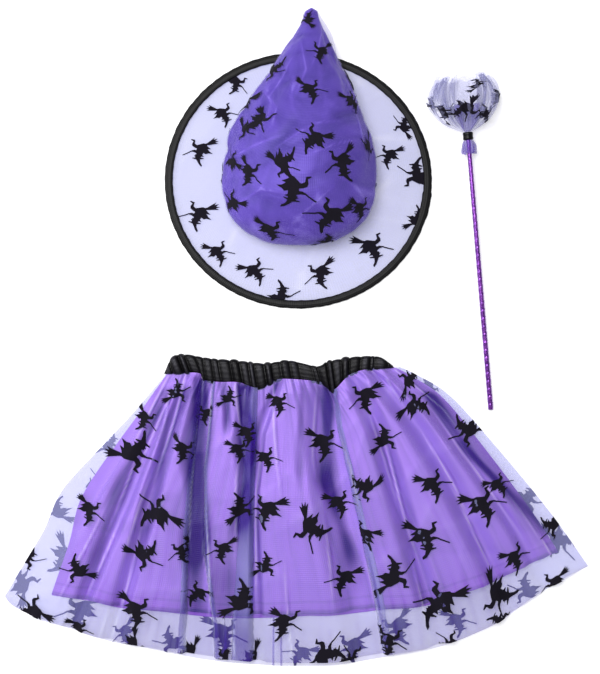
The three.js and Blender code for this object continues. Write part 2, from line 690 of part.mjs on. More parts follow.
function wand() {
  const group = new THREE.Group();
  const hole = STICK.butt + SEAM;
  const collarRows = [
    { along: COLLAR.from, radius: 8.2, ruffle: 0.16 },
    { along: 7, radius: 6.8, ruffle: 0.12 },
    { along: COLLAR.to, radius: 5.2, ruffle: 0.04 },
  ];
  const tieFace = (radiusAt) =>
    roundRows(
      18,
      [0, 0.25, 0.75, 1].map((way) => (angle) =>
        roundStick(mix(TIE.from, TIE.to, way), radiusAt(way), angle),
      ),
    );
  const tie = wallBetween(
    tieFace((way) => mix(TIE.radius - 0.8, TIE.radius, Math.sin(Math.PI * way))),
    tieFace(() => hole),
    true,
  );
  group.add(
    stick(),
    piece("wand_collar", ruffledWall(collarRows, 6, 24), ORGANZA()),
    piece("wand_tie", tie, BLACK_SATIN()),
    piece("wand_tuft_outer", ruffledWall(TUFT_OUTER, TUFT_WAVES, TUFT_ROUND), ORGANZA()),
    piece("wand_tuft_inner", ruffledWall(TUFT_INNER, 5, 24, CLOTH + 2 * SEAM), ORGANZA()),
  );
  return group;
}

const costume = new THREE.Group();
costume.add(skirt(), hat(), wand());

export default costume;
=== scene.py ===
"""A child's witch costume laid out on a white table and looked straight down on.

The set is a gathered skirt of purple satin under sheer flocked organza, a pointed hat of the same
cloths with its soft crown fallen back over a wired organza brim, and a foil-wrapped wand with a
tuft of organza. Lengths in the tables are millimetres; the scene is in metres.
"""

import logging
import math
from collections.abc import Callable, Sequence
from dataclasses import dataclass, field
from enum import Enum

import bmesh
import bpy
import numpy as np
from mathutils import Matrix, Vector

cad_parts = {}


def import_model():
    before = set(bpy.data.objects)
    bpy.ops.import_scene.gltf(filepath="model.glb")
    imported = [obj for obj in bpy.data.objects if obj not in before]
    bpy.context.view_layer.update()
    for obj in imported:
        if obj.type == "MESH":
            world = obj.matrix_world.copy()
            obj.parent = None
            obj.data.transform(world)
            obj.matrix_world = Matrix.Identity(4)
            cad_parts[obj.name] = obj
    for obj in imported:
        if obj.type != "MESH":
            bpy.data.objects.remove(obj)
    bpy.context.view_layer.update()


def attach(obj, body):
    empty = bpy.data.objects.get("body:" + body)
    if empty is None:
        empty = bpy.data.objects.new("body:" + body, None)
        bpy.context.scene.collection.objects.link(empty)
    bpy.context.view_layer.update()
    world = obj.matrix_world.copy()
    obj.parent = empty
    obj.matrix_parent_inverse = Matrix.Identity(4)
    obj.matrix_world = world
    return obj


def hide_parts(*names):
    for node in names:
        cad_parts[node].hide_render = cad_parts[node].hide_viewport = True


LOG = logging.getLogger("witch_costume")

MM = 0.001
VIEW_HIGH = 1500.0  # height of the camera above the table, in millimetres
SEED = 31
CLOTH_MAP = "cloth"  # UV map in metres of cloth
MIX_SHARE, MIX_FROM, MIX_TO, MIX_RESULT = 0, 6, 7, 2  # the colour sockets of a Mix node

Array = np.ndarray
Surface = Callable[[Array, Array], Array]
Line = Sequence[tuple[float, float]]  # rows of x and y, in millimetres


# Small shared tools


def linear(srgb: str) -> tuple[float, float, float, float]:
    """The linear colour of an sRGB hex value such as "#8a5fe0"."""
    parts = [int(srgb[i : i + 2], 16) / 255 for i in (1, 3, 5)]
    red, green, blue = (c / 12.92 if c <= 0.04045 else ((c + 0.055) / 1.055) ** 2.4 for c in parts)
    return red, green, blue, 1.0


def add_node(
    tree: bpy.types.NodeTree, kind: str, settings: dict[str, object] | None = None, **links: object
) -> bpy.types.Node:
    """Adds a shader node.

    Args:
        tree: The node tree of the material or world.
        kind: The node's type, such as "ShaderNodeBump".
        settings: Properties and input values by name.
        **links: Output sockets by the name of the input that they feed, with _ for a space.

    Returns:
        The new node.
    """
    node = tree.nodes.new(kind)
    for name, value in (settings or {}).items():
        if hasattr(node, name):
            setattr(node, name, value)
        else:
            node.inputs[name].default_value = value
    for name, socket in links.items():
        tree.links.new(socket, node.inputs[name.replace("_", " ")])
    return node


def smooth(value: Array) -> Array:
    """A smooth step from 0 to 1 as value goes from 0 to 1."""
    held = np.clip(value, 0.0, 1.0)
    return held * held * (3 - 2 * held)


def hump(value: Array) -> Array:
    """A soft hump, 1 at 0 and 0 from 1 outwards."""
    return np.where(np.abs(value) < 1, 0.5 + 0.5 * np.cos(np.pi * np.clip(value, -1, 1)), 0.0)


def tent(value: Array) -> Array:
    """A crease: sharp at 0 and running out softly at 1."""
    return np.clip(1 - np.abs(value), 0, 1) ** 1.6


def squared(wave: Array, power: float | Array) -> Array:
    """A sine or cosine pushed away from 0, which makes a round section squarer."""
    return np.sign(wave) * np.abs(wave) ** power


def line_at(line: Line, y: Array) -> Array:
    """How far across a line that runs down the table lies at these heights."""
    rows = np.array(line)[::-1]
    return np.interp(y, rows[:, 1], rows[:, 0])


CRUMPLE_SETS = 7  # sets of parallel creases, each at its own angle


def crumple(x: Array, y: Array, high: float, size: float, salt: int) -> Array:
    """Soft creases that cross each other at any angle, as in cloth that has been packed.

    Args:
        x: Places across, in millimetres.
        y: Places up, in millimetres.
        high: Height of the strongest, in millimetres.
        size: About how far apart they lie, in millimetres.
        salt: Which set of them.

    Returns:
        Heights from 0 up.
    """
    total = np.zeros_like(x)
    for index in range(CRUMPLE_SETS):
        turn, phase, other, pace = hashed(np.arange(4) + 11 * index, salt)
        angle = np.pi * turn
        along = (x * np.cos(angle) + y * np.sin(angle)) / size
        beside = (y * np.cos(angle) - x * np.sin(angle)) / size
        bend = 0.7 * np.sin(beside * (0.5 + pace) + 6.3 * other)
        line = np.abs(np.sin(0.5 * np.pi * along * (0.6 + 0.8 * pace) + bend + 6.3 * phase))
        gate = smooth(0.5 + 0.8 * np.sin(beside * 0.9 + along * 0.3 + 6.3 * phase))
        total += (1 - line) ** 2.5 * gate * (0.4 + 0.6 * other)
    return high * np.clip(total / 1.6, 0, 1.6)


class Spline:
    """A smooth curve through the rows of a table, read by the share of its length."""

    STEPS = 24

    def __init__(self, rows: Sequence[Sequence[float]]) -> None:
        """Works the curve out.

        Args:
            rows: Points of any number of values.
        """
        points = np.array(rows, dtype=float)
        padded = np.vstack([points[:1], points, points[-1:]])
        way = np.linspace(0, 1, self.STEPS, endpoint=False)[:, None]
        runs = []
        for a, b, c, d in zip(padded[:-3], padded[1:-2], padded[2:-1], padded[3:]):
            bend = 2 * a - 5 * b + 4 * c - d
            twist = 3 * b - a - 3 * c + d
            runs.append(0.5 * (2 * b + (c - a) * way + bend * way**2 + twist * way**3))
        self.points = np.vstack([*runs, points[-1:]])
        steps = np.linalg.norm(np.diff(self.points, axis=0), axis=1)
        self.along = np.concatenate([[0], np.cumsum(steps)]) / steps.sum()

    def __call__(self, share: Array) -> Array:
        """The points at these shares of the length, with one more axis than share."""
        held = np.clip(share, 0, 1)
        return np.stack([np.interp(held, self.along, column) for column in self.points.T], axis=-1)


class Table:
    """Columns of numbers read smoothly against the first column."""

    def __init__(self, rows: Sequence[Sequence[float]]) -> None:
        """Keeps the rows.

        Args:
            rows: Rows that start with the value they are placed by, in rising order.
        """
        self.rows = np.array(rows, dtype=float)

    def __call__(self, at: Array) -> list[Array]:
        """Each further column at these places, on cubic pieces through the rows.

        Args:
            at: Places.

        Returns:
            The values.
        """
        keys = self.rows[:, 0]
        values = self.rows[:, 1:]
        slopes = np.gradient(values, keys, axis=0)
        held = np.clip(at, keys[0], keys[-1])
        row = np.clip(np.searchsorted(keys, held, side="right") - 1, 0, len(keys) - 2)
        width = keys[row + 1] - keys[row]
        way = (held - keys[row]) / width
        start = (1 + 2 * way) * (1 - way) ** 2
        end = way**2 * (3 - 2 * way)
        leave = way * (1 - way) ** 2 * width
        meet = way**2 * (way - 1) * width
        columns = []
        for column in range(values.shape[1]):
            v, m = values[:, column], slopes[:, column]
            columns.append(start * v[row] + end * v[row + 1] + leave * m[row] + meet * m[row + 1])
        return columns


def hashed(index: Array, salt: int) -> Array:
    """A repeatable number from 0 to 1 for each whole number."""
    mixed = np.sin(np.asarray(index, dtype=float) * 12.9898 + salt * 78.233) * 43758.5453
    return mixed - np.floor(mixed)


def cell_ridges(along: Array, cells: int, salt: int) -> tuple[Array, Array, Array]:
    """Uneven ridges side by side.

    Args:
        along: Shares from 0 to 1 across the ridges.
        cells: How many there are.
        salt: Which set of uneven widths and heights is used.

    Returns:
        The ridge's profile from 0 to 1, and two numbers from 0 to 1 that are the same all along it.
    """
    shifts = (hashed(np.arange(cells + 1), salt) - 0.5) * 0.7
    edges = (np.arange(cells + 1) + shifts) / cells
    edges[0], edges[-1] = 0.0, 1.0
    row = np.clip(np.searchsorted(edges, along, side="right") - 1, 0, cells - 1)
    inside = (along - edges[row]) / (edges[row + 1] - edges[row])
    return np.sin(np.pi * np.clip(inside, 0, 1)) ** 0.8, hashed(row, salt + 1), hashed(row, salt + 2)


# Finishes


SHEEN_SPREAD = 0.35  # roughness of the soft light on a cloth's edges
FLOCK_GLOSS = 0.15  # specular level of fibres that stand on end
SATIN_TINT = 0.2  # metallic share, which lends a satin's gloss the yarn's colour
SLUBS = 22.0  # noise scale: the dye drifts over patches of about 45 mm


class ClothLook(Enum):
    """Which way a cloth treats light."""

    SATIN = "satin"
    SHEER = "sheer"
    FLOCK = "flock"


@dataclass(frozen=True)
class Cloth:
    """A woven finish whose threads follow the cloth's own map.

    Attributes:
        name: The material's name.
        colour: sRGB hex of the yarn.
        dark: sRGB hex that the colour drifts towards.
        look: How it treats light.
        roughness: Of the yarn's gloss.
        sheen: Strength of the soft light on its edges.
        sheen_colour: sRGB hex of that light.
        thread_mm: Spacing of the threads as drawn, about ten times coarser than real ones, which lie
            0.2 mm apart and would not show.
        relief: Strength of the threads' bump.
        cover: Share of the light that the cloth stops; 1 is opaque.
        deep: sRGB hex painted in as shade deep in a fold.
        painted_highlight: sRGB hex painted in as a highlight along a sharp crest.
        gloss: Specular level of a satin.
    """

    name: str
    colour: str
    dark: str
    look: ClothLook
    roughness: float
    sheen: float
    sheen_colour: str
    thread_mm: float = 2.4
    relief: float = 0.12
    cover: float = 1.0
    deep: str = ""
    painted_highlight: str = ""
    gloss: float = 0.35

    def material(self) -> bpy.types.Material:
        """Builds the material once and returns it."""
        known = bpy.data.materials.get(self.name)
        if known:
            return known
        made = bpy.data.materials.new(self.name)
        made.use_nodes = True
        tree = made.node_tree
        tree.nodes.clear()
        place = add_node(tree, "ShaderNodeUVMap", {"uv_map": CLOTH_MAP}).outputs["UV"]
        threads = math.pi / (10 * self.thread_mm * MM)  # a wave repeats every pi / (10 * Scale)
        wave = {"Scale": threads, "Distortion": 0.6, "Detail": 1.0}
        warp, weft = (
            add_node(tree, "ShaderNodeTexWave", {"bands_direction": way, **wave}, Vector=place)
            for way in "XY"
        )
        weave = add_node(tree, "ShaderNodeMath", {"operation": "ADD"})
        tree.links.new(warp.outputs["Fac"], weave.inputs[0])
        tree.links.new(weft.outputs["Fac"], weave.inputs[1])
        slubs = add_node(
            tree, "ShaderNodeTexNoise", {"Scale": SLUBS, "Detail": 4.0, "Roughness": 0.55}, Vector=place
        )
        drift = add_node(tree, "ShaderNodeMix", {"data_type": "RGBA"})
        drift.inputs[MIX_FROM].default_value = linear(self.colour)
        drift.inputs[MIX_TO].default_value = linear(self.dark)
        tree.links.new(slubs.outputs["Fac"], drift.inputs[MIX_SHARE])
        # Painted shade and highlight: a vertex attribute mixes the colour towards the deep colour in folds
        # and towards the highlight colour on crests.
        fold = add_node(tree, "ShaderNodeAttribute", {"attribute_name": FOLD_SHADE})
        depth = add_node(tree, "ShaderNodeMix", {"data_type": "RGBA"})
        depth.inputs[MIX_TO].default_value = linear(self.deep or self.dark)
        tree.links.new(drift.outputs[MIX_RESULT], depth.inputs[MIX_FROM])
        tree.links.new(fold.outputs["Fac"], depth.inputs[MIX_SHARE])
        crest = add_node(tree, "ShaderNodeMath", {"operation": "MULTIPLY", "use_clamp": True})
        crest.inputs[1].default_value = -1.0
        tree.links.new(fold.outputs["Fac"], crest.inputs[0])
        painted_highlight = add_node(tree, "ShaderNodeMix", {"data_type": "RGBA"})
        painted_highlight.inputs[MIX_TO].default_value = linear(self.painted_highlight or self.colour)
        tree.links.new(depth.outputs[MIX_RESULT], painted_highlight.inputs[MIX_FROM])
        tree.links.new(crest.outputs[0], painted_highlight.inputs[MIX_SHARE])
        bump = add_node(
            tree,
            "ShaderNodeBump",
            {"Strength": self.relief, "Distance": self.thread_mm * MM * 0.4},
            Height=weave.outputs[0],
        )
        shader = add_node(
            tree,
            "ShaderNodeBsdfPrincipled",
            {
                "Roughness": self.roughness,
                "Sheen Weight": self.sheen,
                "Sheen Roughness": SHEEN_SPREAD,
                "Sheen Tint": linear(self.sheen_colour),
                "Alpha": self.cover,
            },
            Base_Color=painted_highlight.outputs[MIX_RESULT],
            Normal=bump.outputs["Normal"],
        )
        if self.look is ClothLook.FLOCK:
            shader.inputs["Specular IOR Level"].default_value = FLOCK_GLOSS
        if self.look is ClothLook.SATIN:
            shader.inputs["Specular IOR Level"].default_value = self.gloss
            shader.inputs["Metallic"].default_value = SATIN_TINT
        out = add_node(tree, "ShaderNodeOutputMaterial")
        tree.links.new(shader.outputs[0], out.inputs["Surface"])
        return made


# In the finishes below, each deep colour is painted shade for deep in folds, and each highlight colour is a
# painted highlight for sharp crests.
# Polyester satin: floats of the warp lie side by side and give a broad soft gloss.
SKIRT_SATIN = Cloth(
    name="polyester_satin_purple", colour="#b470f1", dark="#a260e6", look=ClothLook.SATIN,
    roughness=0.42, sheen=0.15, sheen_colour="#d8c8ff", deep="#2b0a68", painted_highlight="#d2abff",
)  # fmt: skip
CROWN_SATIN = Cloth(
    name="polyester_satin_violet", colour="#6648c4", dark="#593ab6", look=ClothLook.SATIN,
    roughness=0.5, sheen=0.15, sheen_colour="#b9a8ff", deep="#2f1788", painted_highlight="#9c86f0",
)  # fmt: skip
BAND_SATIN = Cloth(
    name="polyester_satin_black", colour="#0d0c11", dark="#09080b", look=ClothLook.SATIN,
    roughness=0.34, sheen=0.05, sheen_colour="#8d8aa0", thread_mm=2.2, relief=0.15, deep="#010102",
    painted_highlight="#34333c", gloss=0.2,
)  # fmt: skip
BINDING_SATIN = Cloth(
    name="polyester_binding_black", colour="#08080b", dark="#050507", look=ClothLook.SATIN,
    roughness=0.46, sheen=0.04, sheen_colour="#8d8aa0", thread_mm=2.2, relief=0.15, gloss=0.25,
)  # fmt: skip
# Organza: stiff sheer plain weave; the open mesh lets most of the light through.
ORGANZA = Cloth(
    name="nylon_organza_lilac", colour="#b3b4f2", dark="#a9aaee", look=ClothLook.SHEER, roughness=0.45,
    sheen=0.6, sheen_colour="#e6e6ff", relief=0.2, cover=0.3, deep="#471db2", painted_highlight="#f4f2ff",
)  # fmt: skip
CROWN_ORGANZA = Cloth(
    name="nylon_organza_violet", colour="#9a8ae8", dark="#8f80e0", look=ClothLook.SHEER, roughness=0.45,
    sheen=0.8, sheen_colour="#d8d0ff", relief=0.2, cover=0.16,
)  # fmt: skip
BRIM_ORGANZA = Cloth(
    name="nylon_organza_brim", colour="#9da0d4", dark="#9396ce", look=ClothLook.SHEER, roughness=0.45,
    sheen=0.3, sheen_colour="#e6e6ff", relief=0.2, cover=0.5, deep="#5558b4", painted_highlight="#f0f0ff",
)  # fmt: skip
# Organza bunched in many layers at a tie, where it all but hides what is behind it.
BUNCHED_ORGANZA = Cloth(
    name="nylon_organza_bunched", colour="#765ad0", dark="#6448c0", look=ClothLook.SHEER,
    roughness=0.45, sheen=0.6, sheen_colour="#d8d0ff", relief=0.3, cover=0.52, deep="#2a1280",
    painted_highlight="#a593ee",
)  # fmt: skip
HEART_ORGANZA = Cloth(
    name="nylon_organza_heart", colour="#8f7ce4", dark="#8470dc", look=ClothLook.SHEER, roughness=0.45,
    sheen=0.6, sheen_colour="#d8d0ff", relief=0.3, cover=0.36, deep="#3a1c90", painted_highlight="#b9a8f6",
)  # fmt: skip
TUFT_ORGANZA = Cloth(
    name="nylon_organza_tuft", colour="#c6c6f8", dark="#bcbcf4", look=ClothLook.SHEER, roughness=0.45,
    sheen=0.4, sheen_colour="#e6e6ff", relief=0.2, cover=0.15,
)  # fmt: skip
# Flock: short black fibres glued on end, which swallow the light.
FLOCK = Cloth(
    name="nylon_flock_black", colour="#15121c", dark="#1c1824", look=ClothLook.FLOCK, roughness=0.9,
    sheen=0.15, sheen_colour="#6a6480", thread_mm=0.7, relief=0.5,
)  # fmt: skip


@dataclass(frozen=True)
class Foil:
    """Crushed holographic foil tape wound round a stick: facets with painted glints under a clear film.

    Attributes:
        name: The material's name.
        colour: sRGB hex of the facets without a painted glint.
        bright: sRGB hex painted on facets at random as glints, as if they catch the light.
        facet_mm: Size of the facets as drawn, coarser than the real 0.5 mm so that they show.
    """

    name: str = "foil_tape_purple"
    colour: str = "#541c80"
    bright: str = "#9a4ec4"
    facet_mm: float = 1.6

    def material(self) -> bpy.types.Material:
        """Builds the material once and returns it."""
        known = bpy.data.materials.get(self.name)
        if known:
            return known
        made = bpy.data.materials.new(self.name)
        made.use_nodes = True
        tree = made.node_tree
        tree.nodes.clear()
        place = add_node(tree, "ShaderNodeUVMap", {"uv_map": CLOTH_MAP}).outputs["UV"]
        facets = add_node(
            tree, "ShaderNodeTexVoronoi", {"Scale": 1 / (self.facet_mm * MM), "Randomness": 1.0}, Vector=place
        )
        tone = add_node(tree, "ShaderNodeSeparateColor", Color=facets.outputs["Color"])
        # Painted glints: facets at random take the bright colour.
        mix = add_node(tree, "ShaderNodeMix", {"data_type": "RGBA"})
        mix.inputs[MIX_FROM].default_value = linear(self.colour)
        mix.inputs[MIX_TO].default_value = linear(self.bright)
        tree.links.new(tone.outputs[0], mix.inputs[MIX_SHARE])
        bump = add_node(
            tree, "ShaderNodeBump", {"Strength": 0.6, "Distance": 0.0004}, Height=tone.outputs[1]
        )
        shader = add_node(
            tree,
            "ShaderNodeBsdfPrincipled",
            {"Metallic": 0.75, "Roughness": 0.32, "Coat Weight": 0.4, "Coat Roughness": 0.15},
            Base_Color=mix.outputs[MIX_RESULT],
            Normal=bump.outputs["Normal"],
        )
        out = add_node(tree, "ShaderNodeOutputMaterial")
        tree.links.new(shader.outputs[0], out.inputs["Surface"])
        return made


# Mesh making


def piece_from(
    bm: bmesh.types.BMesh, name: str, finish: Cloth | Foil
) -> bpy.types.Object:
    """Turns a bmesh into a shaded piece that rides on the costume's one body.

    Args:
        bm: The mesh, in metres, which is freed.
        name: The piece's name.
        finish: Its finish.

    Returns:
        The new object.
    """
    mesh = bpy.data.meshes.new(name)
    for face in bm.faces:
        face.smooth = True
    bm.to_mesh(mesh)
    bm.free()
    piece = bpy.data.objects.new(name, mesh)
    bpy.context.scene.collection.objects.link(piece)
    mesh.materials.append(finish.material())
    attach(piece, "root")
    LOG.info("%s: %d vertices", name, len(mesh.vertices))
    return piece


# The painted shade and highlight that a cloth's colour takes: painted shade up to 1 deep in a fold, painted
# highlight down to -1 along a sharp crest.
FOLD_SHADE = "fold_shade"  # vertex attribute, from 1 deep in a fold to -1 along a sharp crest
Shade = Callable[[Array, Array, Array], Array]


def woven_grid(
    columns: int,
    rows: int,
    surface: Surface,
    cloth_size: tuple[float, float],
    close: bool = False,
    shade: Shade | None = None,
) -> bmesh.types.BMesh:
    """A grid of cloth laid over a surface.

    Args:
        columns: Faces across.
        rows: Faces down.
        surface: Gives points in millimetres from shares of the way across and down.
        cloth_size: Width and length of the cloth in metres, for its map.
        close: Whether edges that meet are sewn together and the faces turned outwards.
        shade: Gives the painted shade, up to 1 deep in a fold, and the painted highlight, down to -1 on a
            crest, from the shares and the points.

    Returns:
        The mesh, in metres.
    """
    bm = bmesh.new()
    bm.loops.layers.uv.new(CLOTH_MAP)
    # Painted shade and highlight are kept on the vertices.
    fold = bm.verts.layers.float.new(FOLD_SHADE)
    bmesh.ops.create_grid(bm, x_segments=columns, y_segments=rows, size=0.5, calc_uvs=True)
    shares = np.array([vert.co[:2] for vert in bm.verts]) + 0.5
    points = surface(shares[:, 0], 1 - shares[:, 1])
    depth = shade(shares[:, 0], 1 - shares[:, 1], points) if shade else np.zeros(len(points))
    uv = bm.loops.layers.uv[CLOTH_MAP]
    for face in bm.faces:
        for loop in face.loops:
            across, up = loop[uv].uv
            loop[uv].uv = (across * cloth_size[0], up * cloth_size[1])
    for vert, point, deep in zip(bm.verts, points * MM, depth):
        vert.co = point
        vert[fold] = deep
    if close:
        bmesh.ops.remove_doubles(bm, verts=bm.verts, dist=1e-6)
        bmesh.ops.dissolve_degenerate(bm, edges=bm.edges, dist=1e-7)
        bmesh.ops.recalc_face_normals(bm, faces=bm.faces)
    return bm


# The flocked figure: a witch who flies on a besom

FIGURE_OUTLINE = (
    (-4.4, 34.5), (-0.5, 30.8), (2.6, 25.2), (5.4, 20.6), (12.6, 18.4), (12.4, 17.2), (7.0, 17.2),
    (7.2, 15.4), (9.4, 13.4), (7.0, 13.0), (7.6, 11.4), (4.8, 10.8), (5.0, 9.2), (9.0, 6.8),
    (14.0, 6.0), (18.0, 8.2),
    (30.2, 13.2), (30.8, 11.6), (18.6, 6.4), (15.0, 4.2), (8.6, 2.4), (5.2, 3.4), (3.8, 0.4), (8.4, -1.8),
    (12.4, -4.6), (12.8, -8.4), (10.2, -13.2), (14.8, -16.2), (13.4, -17.4), (6.8, -15.8), (7.6, -9.0),
    (3.6, -6.0), (-2.4, -7.8), (-8.2, -9.4), (-12.4, -8.8), (-15.6, -9.8), (-22.6, -15.2), (-29.8, -20.6),
    (-27.6, -15.8), (-35.2, -18.4), (-30.0, -13.6), (-37.2, -13.4), (-30.4, -10.6), (-36.4, -8.8),
    (-28.0, -7.6), (-20.4, -6.2), (-14.6, -5.4), (-17.4, -2.6), (-22.8, 1.8), (-16.0, 1.2), (-19.4, 5.8),
    (-25.8, 10.2), (-17.2, 9.4), (-12.6, 11.0), (-8.0, 8.6), (-6.2, 12.4), (-9.4, 15.8), (-4.4, 15.4),
    (-3.0, 17.4), (-8.8, 18.0), (-8.6, 19.4), (-1.8, 20.6), (-2.4, 26.4), (-5.4, 31.2),
)  # fmt: skip
FIGURE_SPAN = 68.0  # length of the drawing along the stick, in its own units
FIGURE_CUT = 7.0  # spacing of the cuts that let a figure bend with the cloth
FIGURE_CUTS = 5  # how many there are on each side of the middle
FIGURE_WELD = 0.05  # a cut this close to a point goes through it
LARGE_FIGURE, SMALL_FIGURE = 56.0, 38.0  # the two sizes of tossed figures
TRIES_EACH = 60  # throws for each figure that is wanted


@dataclass(frozen=True)
class Mark:
    """Where one figure is flocked.

    Attributes:
        x: Across, in millimetres or as a share, as the surface says.
        y: Up, the same.
        size: Length of the broom in millimetres.
        turn: Angle of the broom in degrees.
        flip: Whether the figure is mirrored.
    """

    x: float
    y: float
    size: float
    turn: float
    flip: bool = False

    def turned(self, flat: Array) -> Array:
        """The drawing's points in millimetres, turned and mirrored for this mark."""
        scale = self.size / FIGURE_SPAN
        drawn = flat * np.array([-scale if self.flip else scale, scale])
        angle = math.radians(self.turn)
        turn = np.array([[math.cos(angle), math.sin(angle)], [-math.sin(angle), math.cos(angle)]])
        return drawn @ turn


class Figure:
    """The flocked figure as a flat mesh that can be laid on any surface many times."""

    def __init__(self) -> None:
        """Draws the figure once, cut finely enough to bend."""
        bm = bmesh.new()
        verts = [bm.verts.new((x, y, 0)) for x, y in FIGURE_OUTLINE]
        edges = [bm.edges.new(pair) for pair in zip(verts, verts[1:] + verts[:1])]
        bmesh.ops.triangle_fill(bm, use_beauty=True, edges=edges)
        for axis in (Vector((1, 0, 0)), Vector((0, 1, 0))):
            for step in range(-FIGURE_CUTS, FIGURE_CUTS + 1):
                bmesh.ops.bisect_plane(
                    bm,
                    geom=[*bm.verts, *bm.edges, *bm.faces],
                    plane_co=axis * step * FIGURE_CUT,
                    plane_no=axis,
                    dist=FIGURE_WELD,
                )
        for face in bm.faces:
            if face.normal.z < 0:
                face.normal_flip()
        self.mesh = bpy.data.meshes.new("flock_figure")
        bm.to_mesh(self.mesh)
        bm.free()
        self.flat = np.array([vert.co[:2] for vert in self.mesh.vertices])

    def lay(
        self, name: str, marks: Sequence[Mark], place: Callable[[Mark, Array], Array]
    ) -> bpy.types.Object:
        """Lays a figure at each mark.

        Args:
            name: The new piece's name.
            marks: Where the figures go.
            place: Gives points in millimetres from a mark and offsets in millimetres of cloth.

        Returns:
            One piece of flock that holds them all.
        """
        bm = bmesh.new()
        uv = bm.loops.layers.uv.new(CLOTH_MAP)
        laid = []
        for mark in marks:
            bm.from_mesh(self.mesh)
            laid.append(place(mark, mark.turned(self.flat)))
        points = np.vstack(laid) * MM
        for vert, point in zip(bm.verts, points):
            vert.co = point
        for face in bm.faces:
            for loop in face.loops:
                loop[uv].uv = loop.vert.co.xy
        return piece_from(bm, name, FLOCK)


def marks_from(table: Sequence[Sequence[float]]) -> list[Mark]:
    """Marks from a table of x, y, size, direction of the head and whether it is mirrored."""
    return [Mark(x, y, size, head - 90, bool(flip)) for x, y, size, head, flip in table]


def tossed(
    known: Sequence[Mark],
    count: int,
    spacing: float,
    inside: Callable[[Array, Array], Array],
    box: Sequence[float],
    salt: int,
) -> list[Mark]:
    """Figures thrown evenly over the room that known ones leave, in two sizes and any direction.

    Args:
        known: The figures that are already there.
        count: Most figures wanted.
        spacing: Least distance between them, in millimetres.
        inside: Says which places are on the cloth.
        box: Lowest x, lowest y, highest x and highest y.
        salt: Which throw it is.

    Returns:
        The known marks and the new ones.
    """
    random = np.random.default_rng(SEED + salt)
    marks = list(known)
    for _ in range(count * TRIES_EACH):
        x = random.uniform(box[0], box[2])
        y = random.uniform(box[1], box[3])
        apart = all(math.hypot(x - mark.x, y - mark.y) > spacing for mark in marks)
        if apart and inside(np.array([x]), np.array([y]))[0]:
            size = LARGE_FIGURE if random.random() < 0.5 else SMALL_FIGURE
            marks.append(Mark(x, y, size, random.uniform(0, 360), bool(random.random() < 0.5)))
        if len(marks) == count:
            break
    return marks


# Figures on the front: x, y, size, which way the head points in degrees, and 1 where mirrored.
FRONT_MARKS = (
    (-136, -65, 37, 95, 0), (-172, -93, 37, 235, 1), (-186, -136, 63, 60, 0), (-127, -127, 39, 250, 1),
    (-235, -197, 42, 250, 1), (-157, -197, 59, 215, 0), (-174, -251, 50, 45, 0), (-132, -242, 37, 290, 0),
    (-86, -240, 39, 275, 0), (-251, -269, 44, 100, 1), (-65, -127, 35, 270, 1), (-19, -73, 37, 270, 1),
    (-34, -136, 37, 280, 1), (-62, -197, 44, 110, 0), (-36, -194, 52, 265, 0), (-34, -263, 39, 95, 0),
    (-114, -292, 39, 240, 0), (-59, -303, 59, 95, 0), (-180, -309, 52, 262, 1), (-7, -323, 50, 265, 1),
    (-55, -108, 37, 270, 1), (-105, -87, 31, 270, 0), (-301, -311, 50, 215, 0), (-186, -355, 39, 200, 1),
    (-82, -366, 39, 265, 0), (-36, -374, 44, 200, 1), (-122, -369, 39, 180, 1), (-309, -257, 37, 60, 0),
    (-247, -332, 37, 270, 1), (-76, -71, 31, 90, 0), (76, -66, 48, 290, 0), (127, -48, 37, 20, 1),
    (135, -75, 46, 330, 1), (102, -119, 42, 105, 0), (33, -119, 50, 268, 1), (196, -110, 50, 130, 1),
    (156, -165, 48, 285, 1), (78, -173, 46, 140, 1), (50, -188, 42, 280, 1), (213, -188, 57, 290, 1),
    (231, -167, 37, 300, 1), (13, -219, 57, 350, 0), (75, -223, 44, 250, 0), (148, -225, 57, 275, 1),
    (251, -248, 42, 300, 1), (294, -219, 39, 150, 1), (53, -274, 46, 262, 0), (113, -274, 57, 105, 0),
    (165, -297, 68, 260, 0), (236, -292, 59, 10, 0), (305, -274, 42, 290, 0), (119, -343, 48, 265, 1),
    (44, -358, 57, 350, 1), (79, -369, 44, 200, 0), (190, -343, 42, 230, 0), (248, -318, 39, 180, 0),
)  # fmt: skip
# The same for those of the back that show past the lining.
BACK_MARKS = (
    (-214, -127, 39, 80, 0), (-278, -202, 42, 75, 1), (-251, -310, 61, 270, 0), (-82, -334, 59, 265, 1),
    (113, -328, 52, 300, 0), (186, -320, 44, 275, 1), (62, -349, 52, 280, 0), (-145, -349, 44, 100, 1),
    (4, -355, 44, 250, 0), (263, -292, 48, 90, 1), (-226, -165, 37, 200, 0),
)  # fmt: skip
# The same on the brim, from the middle of the hat.
BRIM_MARKS = (
    (-69, 113, 35, 240, 1), (-85, 79, 37, 280, 1), (-114, 37, 42, 270, 0), (-116, -36, 46, 262, 0),
    (-91, -80, 39, 280, 1), (-49, -101, 42, 290, 1), (23, -105, 44, 290, 0), (86, -74, 50, 280, 1),
    (103, 31, 37, 265, 0), (119, 62, 33, 60, 1), (134, 4, 50, 80, 1), (138, -46, 37, 90, 0),
    (-18, -137, 48, 95, 0),
)  # fmt: skip
# The same on the crown, as seen from above.
CROWN_MARKS = (
    (16, 107, 39, 265, 1), (25, 150, 35, 250, 0), (9, 185, 28, 80, 1), (-30, 125, 37, 100, 0),
    (-42, 71, 42, 280, 1), (-61, 58, 35, 90, 0), (62, 94, 39, 240, 1), (17, 52, 42, 230, 0),
    (81, 38, 35, 120, 1), (-76, 24, 37, 265, 0), (-55, 11, 42, 285, 1), (-18, 19, 44, 60, 0),
    (48, 23, 46, 260, 0), (-1, -7, 57, 250, 1), (-76, -22, 39, 280, 0), (-30, -57, 46, 275, 1),
    (38, -37, 57, 240, 0), (73, -31, 39, 230, 1), (35, -69, 35, 90, 0),
)  # fmt: skip


# Skirt

